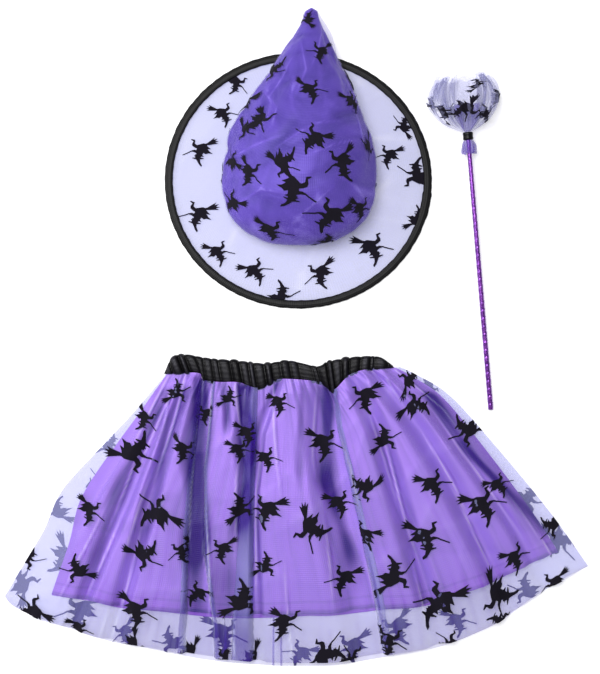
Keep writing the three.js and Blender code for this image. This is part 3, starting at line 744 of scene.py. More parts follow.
WAIST_LINE = (
    (-151.2, -44.3), (-144.3, -42.0), (-112.1, -41.7), (-107.5, -49.2), (-88.0, -52.0), (-66.1, -52.3),
    (-44.3, -58.5), (-20.1, -48.6), (29.3, -52.3), (42.0, -61.1), (60.4, -44.0), (82.2, -37.1),
    (106.4, -36.2), (119.0, -35.1),
)  # fmt: skip
OVERLAY_LEFT = (
    (-151.2, -44.3), (-188.1, -88.0), (-219.1, -121.3), (-268.5, -175.4), (-290.4, -222.5),
    (-320.3, -273.1), (-335.2, -298.4),
)  # fmt: skip
OVERLAY_RIGHT = (
    (119.0, -35.1), (136.3, -43.1), (175.4, -67.3), (224.8, -121.3), (290.4, -200.7), (335.2, -263.9),
)  # fmt: skip
OVERLAY_HEM = (
    (-335.2, -298.4), (-326.0, -309.1), (-297.3, -322.0), (-246.7, -337.3), (-208.7, -347.3),
    (-165.0, -354.4), (-112.1, -364.9), (-53.5, -370.6), (27.0, -371.6), (59.2, -369.3),
    (96.0, -363.9), (160.4, -352.4), (199.5, -339.3), (240.9, -319.7), (267.4, -301.0),
    (304.2, -279.2), (335.2, -263.9),
)  # fmt: skip
# The two edges of the ruched band.
BAND_TOP = (
    (-150.0, -38.0), (-143.0, -24.0), (-129.4, -20.1), (-105.2, -23.6), (-88.0, -25.9), (-58.1, -28.2),
    (-36.2, -30.5), (-7.5, -27.0), (25.9, -33.9), (38.5, -27.0), (77.6, -22.4), (96.0, -23.6), (110.0, -33.0),
)  # fmt: skip
BAND_BASE = (
    (-152.0, -43.0), (-144.3, -43.5), (-112.1, -43.7), (-105.5, -52.2), (-88.0, -55.5), (-66.1, -56.3),
    (-44.3, -62.5), (-20.1, -52.6), (29.3, -56.3), (42.0, -65.1), (60.4, -47.0), (82.2, -40.1),
    (112.0, -36.0),
)  # fmt: skip
# The lining's outline as shares of the overlay: across at the waist and the hem, and the share of
# the length that its hem reaches.
LINING_SIDE = {"left": (0.012, 0.075), "right": (0.02, 0.03)}
LINING_HEM = (
    (0.0, 0.91), (0.08, 0.888), (0.2, 0.87), (0.35, 0.85), (0.5, 0.838), (0.65, 0.845), (0.8, 0.862),
    (0.92, 0.89), (1.0, 0.905),
)  # fmt: skip
FOLD_GROWTH = 1.3  # the folds of the cloth against the even ones of the table below
BACK_DROP = 6.0  # the back's hem hangs this far below the front's


@dataclass(frozen=True)
class Ridge:
    """A fold that stands up between two lines which run down the skirt.

    Attributes:
        left: Its left line, as rows of x and y from the waist down.
        right: Its right line.
        high: Its heights at the waist, the middle and the hem.
        soft: How far in from the left and the right line it takes to rise.
    """

    left: Line
    right: Line
    high: tuple[float, float, float]
    soft: tuple[float, float]

    def __call__(self, x: Array, y: Array, down: Array) -> Array:
        """The fold's height at these places."""
        edges = [line_at(line, y) for line in (self.left, self.right)]
        width = np.maximum(edges[1] - edges[0], 1.0)
        rise = np.minimum(np.array(self.soft)[:, None], 0.62 * width)
        value = smooth((x - edges[0]) / rise[0]) * smooth((edges[1] - x) / rise[1])
        return value * np.interp(down, (0, 0.06, 0.45, 1), (0.55 * self.high[0], *self.high))


# Lines that run down the front: its folds lie between them, and pleats and crests run along them.
LINE_LEFT = ((-149.5, -43.7), (-222.5, -162.7), (-275.1, -251.3), (-315.0, -326.0))
LINE_P = ((-136.3, -42.0), (-193.8, -188.0), (-243.2, -303.0), (-260.5, -343.3))
LINE_Q = ((-125.9, -40.8), (-168.5, -188.0), (-203.0, -314.5), (-214.5, -354.8))
LINE_A = ((-107.5, -48.5), (-115.6, -130.5), (-122.5, -224.8), (-124.8, -318.0), (-127.1, -366.3))
LINE_B = ((-96.0, -50.5), (-106.4, -151.2), (-106.4, -249.0), (-96.0, -332.9), (-94.9, -374.3))
LINE_C = ((-44.3, -60.4), (-47.7, -175.4), (-48.9, -322.6), (-47.7, -374.3))
LINE_C2 = ((-17.8, -47.7), (-39.7, -111.0), (-46.7, -176.5), (-44.3, -257.0), (-39.7, -374.3))
LINE_D1 = ((29.3, -52.8), (29.3, -111.0), (38.5, -176.5), (63.8, -285.8), (78.8, -374.3))
LINE_D = ((42.0, -63.8), (45.4, -101.8), (56.9, -151.2), (85.7, -285.8), (99.5, -372.0))
LINE_S = ((63.8, -40.8), (96.0, -107.5), (119.0, -188.0), (153.5, -303.0), (165.0, -358.2))
LINE_T = ((86.8, -38.5), (142.0, -107.5), (176.5, -165.0), (222.5, -257.0), (251.3, -320.3))
LINE_E = (
    (107.5, -38.5), (155.8, -84.5), (181.1, -119.0), (209.9, -158.1), (253.6, -224.8), (289.2, -291.5),
)  # fmt: skip
LINE_RIGHT = ((116.4, -35.1), (175.4, -64.3), (290.4, -197.7), (339.2, -263.9))

# The folds of the front, from left to right, and the low ones of the back.
RIDGES = (
    Ridge(LINE_LEFT, LINE_P, (3, 6, 6), (16, 16)),
    Ridge(LINE_P, LINE_Q, (6, 8, 7), (12, 14)),
    Ridge(LINE_Q, LINE_A, (10, 13, 8), (16, 4)),
    Ridge(LINE_B, LINE_C, (9, 13, 9), (4, 6)),
    Ridge(LINE_C2, LINE_D1, (8, 10, 7), (6, 26)),
    Ridge(LINE_D, LINE_S, (11, 13, 9), (6, 20)),
    Ridge(LINE_S, LINE_T, (9, 11, 9), (14, 22)),
    Ridge(LINE_T, LINE_E, (6, 9, 8), (18, 16)),
    Ridge(LINE_E, LINE_RIGHT, (3, 6, 6), (14, 22)),
)
BACK_RIDGES = (
    Ridge(LINE_P, LINE_A, (1, 2.5, 3), (26, 26)),
    Ridge(LINE_C, LINE_D1, (1, 3, 3.5), (30, 30)),
    Ridge(LINE_D, LINE_T, (1, 2.5, 3), (30, 30)),
)


@dataclass(frozen=True)
class Valley:
    """A deep narrow hollow between two folds, where little light comes; its shade is painted into the cloth's
    colour, and it also lowers the folds.

    Attributes:
        line: Rows of x and y down its middle.
        half: Half its width.
        dark: How dark its painted shade gets, up to 1.
        start: The length over which it deepens at its top.
    """

    line: Line
    half: float
    dark: float
    start: float = 10.0

    def __call__(self, x: Array, y: Array) -> Array:
        """How deep in the hollow these places are, from 0 to its dark."""
        middle = line_at(self.line, y)
        top, end = self.line[0][1], self.line[-1][1]
        run = smooth((top + 6 - y) / self.start) * smooth((y - end) / (0.35 * (top - end)))
        away = x - middle + 2.2 * np.sin(y / 24 + self.half)
        wide = self.half * (1 + 0.22 * np.sin(y / 17 + 2 * self.half))
        return self.dark * (0.88 + 0.2 * np.sin(y / 13 + self.half)) * hump(away / wide) * run


# Hollows painted in as shade on the front, which also lower its folds.
VALLEYS = (
    Valley(((-112, -46), (-112, -120), (-114, -180), (-116, -250), (-112, -360)), 20, 1.2),
    Valley(((-84, -52), (-81, -90), (-78, -118)), 8, 0.6),
    Valley(((-54, -56), (-56, -110), (-57, -176), (-58, -270)), 17, 1.3),
    Valley(((-64, -50), (-60, -90), (-56, -130)), 5, 0.5),
    Valley(((-22, -50), (-36, -85), (-44, -120)), 6, 0.7),
    Valley(((34, -56), (33, -107), (37, -165), (54, -230), (72, -310)), 15, 1.1),
    Valley(((150, -66), (181, -107), (207, -141), (240, -178), (276, -214), (296, -244)), 13, 0.9),
    Valley(((118, -42), (176, -84), (216, -134), (264, -200), (306, -256)), 26, 0.3),
    Valley(((-150, -60), (-196, -160), (-232, -250), (-250, -318)), 15, 0.55),
    Valley(((-128, -60), (-150, -130), (-176, -225), (-190, -300)), 13, 0.6),
    Valley(((88, -60), (112, -150), (136, -240), (150, -320)), 12, 0.15),
    Valley(((-82, -200), (-78, -290), (-70, -372), (-66, -440)), 42, 0.5, 110),
    Valley(((4, -56), (6, -120), (10, -190)), 8, 0.3),
)
# Sharp crests painted in as highlight lines, with painted shade beside them: rows of x and y down each.
CRESTS = (
    LINE_P,
    LINE_A,
    LINE_B,
    LINE_C2,
    ((40, -64), (48, -101.8), (60, -151.2), (88, -285.8), (101, -372)),
    ((-70, -54), (-62, -110), (-52, -176), (-46, -260), (-43, -374)),
    LINE_E,
    ((-100, -56), (-104, -120), (-102, -230), (-98, -374)),
    ((-146, -62), (-160, -140), (-196, -250), (-226, -345)),
    ((72, -50), (92, -120), (128, -230), (152, -356)),
    ((104, -48), (138, -100), (186, -190), (240, -300)),
    ((-26, -54), (-22, -150), (-12, -260), (-6, -370)),
    ((22, -56), (20, -140), (36, -250), (52, -370)),
    ((-60, -60), (-66, -150), (-72, -260), (-70, -370)),
    LINE_Q,
    LINE_S,
    LINE_T,
    ((-146, -44), (-210, -175), (-262, -285), (-290, -335)),
    ((-141, -43), (-199, -180), (-249, -295), (-274, -340)),
    ((112, -38), (168, -84), (232, -165), (302, -266)),
)
# Painted shade lies beside each crest, and its painted highlight along it.
CREST_SIDE = 3.4  # how far beside a crest its shaded side lies
CREST_HALF = 1.7  # half the width of a crest's bright line
EDGE_HELD = 30  # the cloth rises from the table over this distance from its side edges


class Over(Enum):
    """Which side of a folded edge lies on top."""

    LEFT = -1
    RIGHT = 1


@dataclass(frozen=True)
class Pleat:
    """A crisp edge along which the overlay folds back under itself.

    Attributes:
        line: The edge, as rows of x and y.
        over: The side that lies on top.
        under: How far the cloth runs back under the edge at the waist and the hem.
    """

    line: Line
    over: Over
    under: tuple[float, float]


PLEATS = (
    Pleat(LINE_A, Over.LEFT, (3, 9)),
    Pleat(LINE_B, Over.RIGHT, (3, 8)),
    Pleat(LINE_C, Over.LEFT, (7, 26)),
    Pleat(LINE_D, Over.RIGHT, (5, 12)),
)


class SkirtPlan:
    """The laid skirt's outline and heights, from shares of the way across and down."""

    ROWS = 81  # at which the pleats' cross-sections are worked out
    SEARCH = 241  # places across at which a line is looked for
    FIND_STEPS = 9  # of Newton's method
    FIND_PROBE = 1e-3  # share by which it probes

    def __init__(self) -> None:
        """Works out the outline's curves."""
        self.waist = Spline(WAIST_LINE)
        self.hem = Spline(OVERLAY_HEM)
        self.left = Spline(OVERLAY_LEFT)
        self.right = Spline(OVERLAY_RIGHT)

    def plan(self, across: Array, down: Array, drop: float = 0.0) -> Array:
        """Places on the table, with the hem dropped by drop at its middle.

        Args:
            across: Shares across.
            down: Shares down.
            drop: How far the hem hangs lower at its middle, in millimetres.

        Returns:
            Rows of x and y, in millimetres.
        """
        a, d = across[:, None], down[:, None]
        hem = self.hem(across)
        hem[:, 1] -= drop * np.sin(np.pi * across)
        edges = self.waist(across) * (1 - d) + hem * d + self.left(down) * (1 - a) + self.right(down) * a
        start, end = np.array(WAIST_LINE[0]), np.array(WAIST_LINE[-1])
        low, high = np.array(OVERLAY_HEM[0]), np.array(OVERLAY_HEM[-1])
        corners = (start * (1 - a) + end * a) * (1 - d) + (low * (1 - a) + high * a) * d
        return edges - corners

    def width(self, down: Array) -> Array:
        """The laid width at a share of the length."""
        return np.linalg.norm(self.right(down) - self.left(down), axis=-1)

    def share_of_line(self, line: Line, down: Array) -> Array:
        """The shares across at which a line of the table passes, one for each share down.

        Args:
            line: The line.
            down: Shares down.

        Returns:
            The shares across.
        """
        across = np.linspace(0, 1, self.SEARCH)
        found = []
        for at in down:
            spots = self.plan(across, np.full_like(across, at))
            away = spots[:, 0] - line_at(line, spots[:, 1])
            found.append(np.interp(0, away, across))
        return np.array(found)

    def find(self, x: float, y: float) -> tuple[float, float, Array]:
        """The shares at a place on the table.

        Args:
            x: Across, in millimetres.
            y: Up, in millimetres.

        Returns:
            The shares across and down, and the matrix from millimetres to shares there.
        """
        at = np.array([0.5, 0.5])
        for _ in range(self.FIND_STEPS):
            step = np.where(at > 0.5, -self.FIND_PROBE, self.FIND_PROBE)
            probe = at + np.array([[0, 0], [step[0], 0], [0, step[1]]])
            spots = self.plan(probe[:, 0], probe[:, 1])
            rates = np.stack([(spots[1] - spots[0]) / step[0], (spots[2] - spots[0]) / step[1]], axis=1)
            inverse = np.linalg.inv(rates)
            at = np.clip(at + inverse @ (np.array([x, y]) - spots[0]), 0.002, 0.998)
        return float(at[0]), float(at[1]), inverse

    def side_distance(self, across: Array, down: Array) -> Array:
        """Distance from the nearer side edge."""
        return np.minimum(across, 1 - across) * self.width(down)

    def lining_sides(self, down: Array) -> tuple[Array, Array]:
        """Shares across between which the lining lies."""
        left, right = (start * (1 - down) + end * down for start, end in LINING_SIDE.values())
        return left, 1 - right

    def lining_hem(self, across: Array) -> Array:
        """Shares down at which the lining ends."""
        return np.interp(across, *np.array(LINING_HEM).T)

    def on_lining(self, across: Array, down: Array) -> tuple[Array, Array]:
        """The overlay's shares across and down for those of the lining."""
        down = down * self.lining_hem(across)
        left, right = self.lining_sides(down)
        return left + (right - left) * across, down

    def back_height(self, x: Array, y: Array, across: Array, down: Array) -> Array:
        """Height of the back's low folds."""
        folds = sum(ridge(x, y, down) for ridge in BACK_RIDGES)
        return folds * smooth(self.side_distance(across, down) / EDGE_HELD)

    def main_folds(self, x: Array, y: Array, down: Array) -> Array:
        """Height of the front's main folds, which both its cloths take."""
        return FOLD_GROWTH * sum(ridge(x, y, down) for ridge in RIDGES) * (1 - 0.5 * self.shade(x, y))

    def shade(self, x: Array, y: Array) -> Array:
        """How deep in the valleys these places are, from 0 to 1; it is painted in as shade and also lowers
        the folds.
        """
        return np.clip(sum(valley(x, y) for valley in VALLEYS), 0, 1)

    def ripples(self, across: Array, down: Array, salt: int) -> Array:
        """Long shallow ripples that run down the cloth, from 0 up.

        Args:
            across: Shares across.
            down: Shares down.
            salt: Which set of uneven folds is used.

        Returns:
            Heights in millimetres.
        """
        total = np.zeros_like(across)
        for index, count in enumerate((7, 11, 17, 26, 39)):
            phase, lean = hashed(np.array([index, index + 40]), salt) * 2 * np.pi
            wave = np.sin(2 * np.pi * count * across + phase + (1.2 + lean) * down)
            gate = 0.5 + 0.5 * np.sin(3.1 * down * (1 + index) + lean + 5 * across)
            total += (0.5 + 0.5 * wave) * gate * (1.1 / (1 + 0.35 * index))
        return total

    def crests(self, x: Array, y: Array) -> Array:
        """How strong the painted highlight of a sharp crest is at these places, from 0 to 1, coming and going
        along it.
        """
        total = np.zeros_like(x)
        for index, line in enumerate(CRESTS):
            away = x - line_at(line, y) + 1.5 * np.sin(y / 31 + index)
            run = 0.45 + 0.55 * np.sin(y / (23 + 5 * (index % 4)) + 2.1 * index)
            total += hump(away / CREST_HALF) * np.clip(run, 0, 1) * (y > line[-1][1]) * (y < line[0][1])
        return np.clip(total, 0, 1)

    def streaks(self, across: Array, down: Array, cells: int, salt: int) -> Array:
        """Painted shade in narrow streaks down the cloth, as between small folds, from 0 to 1."""
        way = np.clip(across + 0.006 * np.sin(5 * down + 9 * across), 0, 1)
        ridge, first, second = cell_ridges(way, cells, salt)
        run = hump((down - second) / (0.35 + 0.5 * first))
        return (1 - ridge) ** 1.5 * (0.35 + 0.65 * first) * (0.3 + 0.7 * run)

    def gathers(self, across: Array, down: Array, salt: int) -> Array:
        """The small gathers below the band, of uneven length, from 0 up."""
        total = np.zeros_like(across)
        for count, high, long in ((24, 2.6, 0.16), (41, 1.5, 0.09)):
            ridge, first, second = cell_ridges(across, count, salt + count)
            reach = long * (0.5 + 1.6 * second)
            total += ridge * high * (0.4 + 0.6 * first) * (1 - smooth(down / reach))
        return total


class Level(Enum):
    """How high each laid panel starts, in millimetres."""

    OVERLAY_BACK = 0.4
    LINING_BACK = 1.3
    LINING_FRONT = 2.5
    OVERLAY_RIM = 1.6
    OVERLAY_FRONT = 3.7


@dataclass
class Skirt:
    """The gathered skirt: a ruched band, a satin lining and a sheer overlay, laid flat.

    Attributes:
        figure: The flocked figure.
        plan: The skirt's outline and folds.
        band_gathers: Gathers along the band.
        band_high: How far the strongest of them stands up.
        band_plain: Share along the band and half width of the stretch that is hardly gathered.
        band_salt: Which set of uneven gathers it has.
        hem_streaks: Streaks of painted shade across the overlay, as between small folds.
        lining_streaks: The same across the lining.
        fold_lift: How high the upper layer of a pleat lies, and the layer under it.
        flock_off: How far the flock stands off the front.
        back_figures: Most figures on the back.
        back_spacing: Least distance between them.
        back_start: Share down from which they show, below the band.
        seam: Shares across at which the edges of the back's centre seam lie.
        overlay_grid: Faces across and down of the front overlay.
        lining_grid: The same of the front lining.
        back_grid: The same of both back panels.
        band_grid: Faces along the band and round it.
    """

    figure: Figure
    plan: SkirtPlan = field(default_factory=SkirtPlan)
    band_gathers: int = 27
    band_high: float = 6.6
    band_plain: tuple[float, float] = (0.6, 0.13)
    band_salt: int = 51
    hem_streaks: int = 58
    lining_streaks: int = 31
    fold_lift: tuple[float, float] = (1.7, 0.6)
    flock_off: float = 0.7
    back_figures: int = 80
    back_spacing: float = 50
    back_start: float = 0.13
    seam: tuple[float, float] = (0.4535, 0.4665)
    overlay_grid: tuple[int, int] = (330, 130)
    lining_grid: tuple[int, int] = (260, 110)
    back_grid: tuple[int, int] = (150, 60)
    band_grid: tuple[int, int] = (340, 28)

    def __post_init__(self) -> None:
        """Works out the pleated overlay's cross-sections."""
        self.sections = self.pleated()

    # Heights

    def lining_front_height(self, x: Array, y: Array, across: Array, down: Array) -> Array:
        """Height of the satin front, also past its edges."""
        left, right = self.plan.lining_sides(down)
        inside = smooth(np.minimum(across - left, right - across) * self.plan.width(down) / 26)
        soft = 0.82 * self.plan.main_folds(x, y, down) + 0.55 * self.plan.ripples(across, down, 3)
        soft += self.plan.gathers(across, down, 5) + crumple(x, y, 1.4, 52, 8)
        return Level.LINING_FRONT.value + self.plan.back_height(x, y, across, down) + inside * soft

    def overlay_front_height(self, x: Array, y: Array, across: Array, down: Array) -> Array:
        """Height of the sheer front's lowest layer.

        Args:
            x: Places across, in millimetres.
            y: Places up, in millimetres.
            across: Shares across.
            down: Shares down.

        Returns:
            Heights in millimetres.
        """
        left, right = self.plan.lining_sides(down)
        reach = np.where(across < 0.5, across / left, (1 - across) / (1 - right))
        climb = smooth(np.clip(reach, 0, 1))
        hem = self.plan.lining_hem(across)
        settle = 1 - 0.6 * smooth((down - hem) / (1.02 - hem))
        rim = Level.OVERLAY_RIM.value
        base = rim + (Level.OVERLAY_FRONT.value - rim) * climb * settle
        inside = smooth(self.plan.side_distance(across, down) / EDGE_HELD)
        own = 0.45 * self.plan.ripples(across, down, 9) + 0.6 * self.plan.gathers(across, down, 11)
        folds = self.plan.main_folds(x, y, down)
        lining = self.lining_front_height(x, y, across, down)
        free = base + self.plan.back_height(x, y, across, down) + inside * (folds + own)
        on_lining = (across > left) & (across < right) & (down < hem + 0.01)
        return np.where(on_lining, np.maximum(free, lining + 0.8 + 0.7 * own), free)

    # Panels

    def overlay_nodes(self, down: Array) -> tuple[Array, Array]:
        """The cross-section of the pleated overlay.

        Args:
            down: Shares of the length.

        Returns:
            Shares across of its turning points and their lifts, one row for each turning point.
        """
        width = self.plan.width(down)
        shares = [np.zeros_like(down)]
        lifts = [np.zeros_like(down)]
        for pleat in PLEATS:
            edge = self.plan.share_of_line(pleat.line, down)
            under = np.interp(down, (0, 1), pleat.under) / width
            fade = under + 9 / width
            top, below = self.fold_lift
            if pleat.over is Over.LEFT:
                turns = ((edge - fade, 0.0), (edge, top), (edge - under, below), (edge + 0.3 * under, 0.0))
            else:
                turns = ((edge - 0.3 * under, 0.0), (edge + under, below), (edge, top), (edge + fade, 0.0))
            for share, lift in turns:
                shares.append(share)
                lifts.append(np.full_like(down, lift))
        shares.append(np.ones_like(down))
        lifts.append(np.zeros_like(down))
        return np.array(shares), np.array(lifts)

    def pleated(self) -> tuple[Array, Array, Array, Array]:
        """Tables of the cross-section: rows down, turning shares, lifts and cloth measures."""
        down = np.linspace(0, 1, SkirtPlan.ROWS)
        shares, lifts = self.overlay_nodes(down)
        runs = np.vstack([np.zeros_like(down), np.cumsum(np.abs(np.diff(shares, axis=0)), axis=0)])
        return down, shares, lifts, runs

    def overlay_surface(self, cloth: Array, down: Array, by_cloth: bool, raise_by: float = 0.0) -> Array:
        """Points of the pleated front overlay.

        Args:
            cloth: Shares of the columns, or measures across the cloth in shares of the laid width.
            down: Shares of the length.
            by_cloth: Which of the two cloth holds.
            raise_by: Millimetres above the cloth.

        Returns:
            Points in millimetres.
        """
        rows, shares, lifts, runs = self.sections
        at = [np.array([np.interp(down, rows, row) for row in table]) for table in (shares, lifts, runs)]
        measure = cloth if by_cloth else cloth * at[2][-1]
        measure = np.clip(measure, 0, at[2][-1])
        across = np.zeros_like(down)
        lift = np.zeros_like(down)
        for index in range(len(shares) - 1):
            start, end = at[2][index], at[2][index + 1]
            here = (measure >= start) & (measure <= end)
            way = np.where(here, (measure - start) / np.maximum(end - start, 1e-9), 0)
            across = np.where(here, at[0][index] * (1 - way) + at[0][index + 1] * way, across)
            eased = smooth(way)
            lift = np.where(here, at[1][index] * (1 - eased) + at[1][index + 1] * eased, lift)
        spot = self.plan.plan(across, down)
        height = self.overlay_front_height(spot[:, 0], spot[:, 1], across, down)
        return np.column_stack([spot, height + lift * np.interp(down, (0, 0.1), (0.5, 1)) + raise_by])

    def cloth_measure(self, across: float, down: float) -> float:
        """The measure across the cloth of the top layer at a share across.

        Args:
            across: Share across.
            down: Share down.

        Returns:
            The measure, in shares of the laid width.
        """
        total = across
        for pleat in PLEATS:
            edge = float(self.plan.share_of_line(pleat.line, np.array([down]))[0])
            if across > edge:
                under = np.interp(down, (0, 1), pleat.under)
                total += 2 * float(under / self.plan.width(np.array([down]))[0])
        return total

    def flat_panel(self, level: float, lining: bool) -> Surface:
        """The surface of a back panel.

        Args:
            level: Its height off the table.
            lining: Whether it is the lining and stays inside the overlay.

        Returns:
            The surface.
        """

        def surface(across: Array, down: Array) -> Array:
            """Points of the panel at shares across and down."""
            if lining:
                across, down = self.plan.on_lining(across, down)
            spot = self.plan.plan(across, down, BACK_DROP)
            x, y = spot.T
            inside = smooth(self.plan.side_distance(across, down) / EDGE_HELD)
            own = 0.18 * self.plan.ripples(across, down, 21) * inside
            return np.column_stack([spot, level + self.plan.back_height(x, y, across, down) + own])

        return surface

    def lining_surface(self, across: Array, down: Array) -> Array:
        """Points of the satin front."""
        across, down = self.plan.on_lining(across, down)
        spot = self.plan.plan(across, down)
        x, y = spot.T
        return np.column_stack([spot, self.lining_front_height(x, y, across, down)])

    def hem_shade(self, across: Array, down: Array, salt: int) -> Array:
        """Painted shade towards an organza panel's hem and in streaks between its small folds, where the
        cloth gathers.
        """
        hem = smooth((down - 0.78) / 0.14) * smooth((np.minimum(across, 1 - across) - 0.03) / 0.14)
        return hem * (0.5 + 0.9 * self.plan.streaks(across, down, self.hem_streaks, salt))

    def overlay_shade(self, across: Array, down: Array, points: Array) -> Array:
        """The overlay's painted shade in folds and painted highlight on crests.

        Args:
            across: Shares across.
            down: Shares down.
            points: The points there.

        Returns:
            Painted shade up to 1 deep in a fold, painted highlight down to -1 on a crest.
        """
        x, y = points.T[:2]
        streaks = self.plan.streaks(across, down, self.hem_streaks, 71)
        crests = self.plan.crests(x, y)
        beside = self.plan.crests(x - CREST_SIDE, y)
        shade = self.plan.shade(x, y) + 0.28 * streaks + self.hem_shade(across, down, 71) + 0.5 * beside
        # A darker line along the hem's edge.
        shade += 0.5 * smooth((down - 0.986) / 0.01)
        return np.clip(shade * (1 - crests) - 0.9 * crests, -1, 1)

    def lining_shade(self, across: Array, down: Array, points: Array) -> Array:
        """The satin front's painted shade in folds and painted highlight on crests.

        Args:
            across: Shares across.
            down: Shares down.
            points: The points there.

        Returns:
            Painted shade up to 1 deep in a fold, painted highlight down to -1 on a crest.
        """
        x, y = points.T[:2]
        streaks = self.plan.streaks(across, down, self.lining_streaks, 83)
        # Painted highlight lines along small creases, and painted light and dark facets.
        lines = crumple(x, y, 1.0, 52, 8)
        facets = crumple(x, y, 1.0, 86, 31) - crumple(x + 9, y + 7, 1.0, 86, 31)
        crests = 0.7 * self.plan.crests(x + 1, y) + 0.5 * np.clip(lines - 0.35, 0, 1)
        beside = self.plan.crests(x + 1 - CREST_SIDE, y)
        # Darker along the hem and in a line just above it.
        hem = 0.5 * smooth((down - 0.984) / 0.01) + 0.2 * hump((down - 0.955) / 0.008)
        deep = 1.2 * self.plan.shade(x, y) + 0.34 * streaks + 0.45 * beside + 0.5 * facets + hem
        return np.clip(deep - crests, -1, 1)

    def seam_surface(self, start: float) -> Surface:
        """One edge of the back's centre seam.

        Args:
            start: Share across at which it lies.

        Returns:
            The surface of a strip that runs down the back.
        """
        back = self.flat_panel(Level.OVERLAY_BACK.value + 0.3, False)
        return lambda across, down: back(start + 0.003 * across, down)

    def band_folds(self, around: Array) -> tuple[Array, Array, Array, Array]:
        """The band's gathers, two numbers of each, and how plain the band is, from shares along it."""
        start, half = self.band_plain
        return *cell_ridges(around, self.band_gathers, self.band_salt), hump((around - start) / half)

    def band_surface(self, around: Array, across: Array) -> Array:
        """Points of the ruched band, from shares along it and round its section.

        Args:
            around: Shares along the band.
            across: Shares round its section.

        Returns:
            Points in millimetres.
        """
        top = Spline(BAND_TOP)(around)
        base = Spline(BAND_BASE)(around)
        ridge, first, second, plain = self.band_folds(around)
        gather = ridge**0.6 * (0.3 + 0.7 * first) * (1 - 0.85 * plain)
        angle = 2 * np.pi * across
        up = np.cos(angle)
        out = np.sin(angle)
        puff = squared(up, 0.55)
        middle = (top + base) / 2
        half = (top - base) / 2 * (1 + 0.22 * (gather - 0.45))[:, None]
        spot = middle + half * puff[:, None]
        front = np.clip(out, 0, 1) ** 0.5
        back = np.clip(-out, 0, 1) ** 0.5
        end = smooth(np.minimum(around, 1 - around) / 0.03)
        tall = 3.4 + self.band_high * gather * (0.6 + 0.4 * second)
        high = 3.6 + tall * front * (0.35 + 0.65 * end) - 3.5 * back
        return np.column_stack([spot, np.maximum(high, 0.1)])

    def band_shade(self, around: Array, across: Array, points: Array) -> Array:
        """Painted shade between the band's gathers, and painted highlight on their tops and along small
        creases.
        """
        ridge, first, second, plain = self.band_folds(around)
        lines = crumple(300 * around, 14 * across, 1.0, 15, 9)
        deep = (1 - ridge) ** 1.4 * (0.4 + 0.9 * first) * (1 - 0.7 * plain) + 0.15
        return np.clip(deep - 0.75 * ridge**3 * second - 0.4 * lines, -1, 1)

    def build(self) -> list[bpy.types.Object]:
        overlay_front = piece_from(
            woven_grid(
                *self.overlay_grid,
                lambda s, t: self.overlay_surface(s, t, False),
                (0.72, 0.36),
                shade=self.overlay_shade,
            ),
            "skirt_overlay_front",
            ORGANZA,
        )
        overlay_back = piece_from(
            woven_grid(
                *self.back_grid,
                self.flat_panel(Level.OVERLAY_BACK.value, False),
                (0.62, 0.36),
                shade=lambda across, down, points: self.hem_shade(across, down, 91),
            ),
            "skirt_overlay_back",
            ORGANZA,
        )
        lining_front = piece_from(
            woven_grid(*self.lining_grid, self.lining_surface, (0.6, 0.31), shade=self.lining_shade),
            "skirt_satin_front",
            SKIRT_SATIN,
        )
        lining_back = piece_from(
            woven_grid(*self.back_grid, self.flat_panel(Level.LINING_BACK.value, True), (0.56, 0.31)),
            "skirt_satin_back",
            SKIRT_SATIN,
        )
        band = piece_from(
            woven_grid(*self.band_grid, self.band_surface, (0.5, 0.06), close=True, shade=self.band_shade),
            "skirt_band",
            BAND_SATIN,
        )
        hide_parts("skirt_organza_front")
        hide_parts("skirt_organza_back")
        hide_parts("skirt_lining_front")
        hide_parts("skirt_lining_back")
        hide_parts("waistband")
        seams = [
            piece_from(
                woven_grid(2, 60, self.seam_surface(start), (0.002, 0.36)),
                f"skirt_back_seam_{side}",
                BUNCHED_ORGANZA,
            )
            for side, start in zip(("left", "right"), self.seam)
        ]
        front_marks = self.flock_front()
        back_marks = self.flock_back()
        return [overlay_front, overlay_back, lining_front, lining_back, band, *seams, front_marks, back_marks]

    # Flock

    def on_cloth(self, x: Array, y: Array) -> Array:
        """Whether places on the table lie on the overlay."""
        found = [self.plan.find(float(a), float(b)) for a, b in zip(x, y)]
        return np.array([0.01 < a < 0.99 and 0.03 < d < 0.99 for a, d, _ in found])

    def flock_front(self) -> bpy.types.Object:
        """Lays the figures on the front overlay."""
        marks = marks_from(FRONT_MARKS)

        def place(mark: Mark, offsets: Array) -> Array:
            """Points of a figure on the pleated cloth."""
            across, down, inverse = self.plan.find(mark.x, mark.y)
            shifts = offsets @ inverse.T
            measure = self.cloth_measure(across, down) + shifts[:, 0]
            return self.overlay_surface(measure, np.clip(down + shifts[:, 1], 0, 1), True, self.flock_off)

        return self.figure.lay("skirt_flock_front", marks, place)

    def flock_back(self) -> bpy.types.Object:
        """Lays the figures on the back overlay, whose flock faces the table."""
        box = (-335, -380, 335, -36)
        known = marks_from(BACK_MARKS)
        marks = tossed(known, self.back_figures, self.back_spacing, self.on_cloth, box, 2)
        marks = [mark for mark in marks if self.plan.find(mark.x, mark.y)[1] > self.back_start]
        surface = self.flat_panel(Level.OVERLAY_BACK.value - 0.25, False)

        def place(mark: Mark, offsets: Array) -> Array:
            """Points of a figure under the back."""
            across, down, inverse = self.plan.find(mark.x, mark.y)
            shifts = offsets @ inverse.T
            return surface(np.clip(across + shifts[:, 0], 0, 1), np.clip(down + shifts[:, 1], 0, 1))

        return self.figure.lay("skirt_flock_back", marks, place)


# Hat

HAT_CENTRE = np.array([2.0, 179.0])
BRIM_REACH = np.array([153.5, 147.0])  # half its width and its length, out to the binding's edge
BINDING_WIDE = 9.5
BINDING_HIGH = 3.6
HEAD_RADIUS = 73.0
SEAM_TURNED = 3.0  # the brim runs this far in under the crown

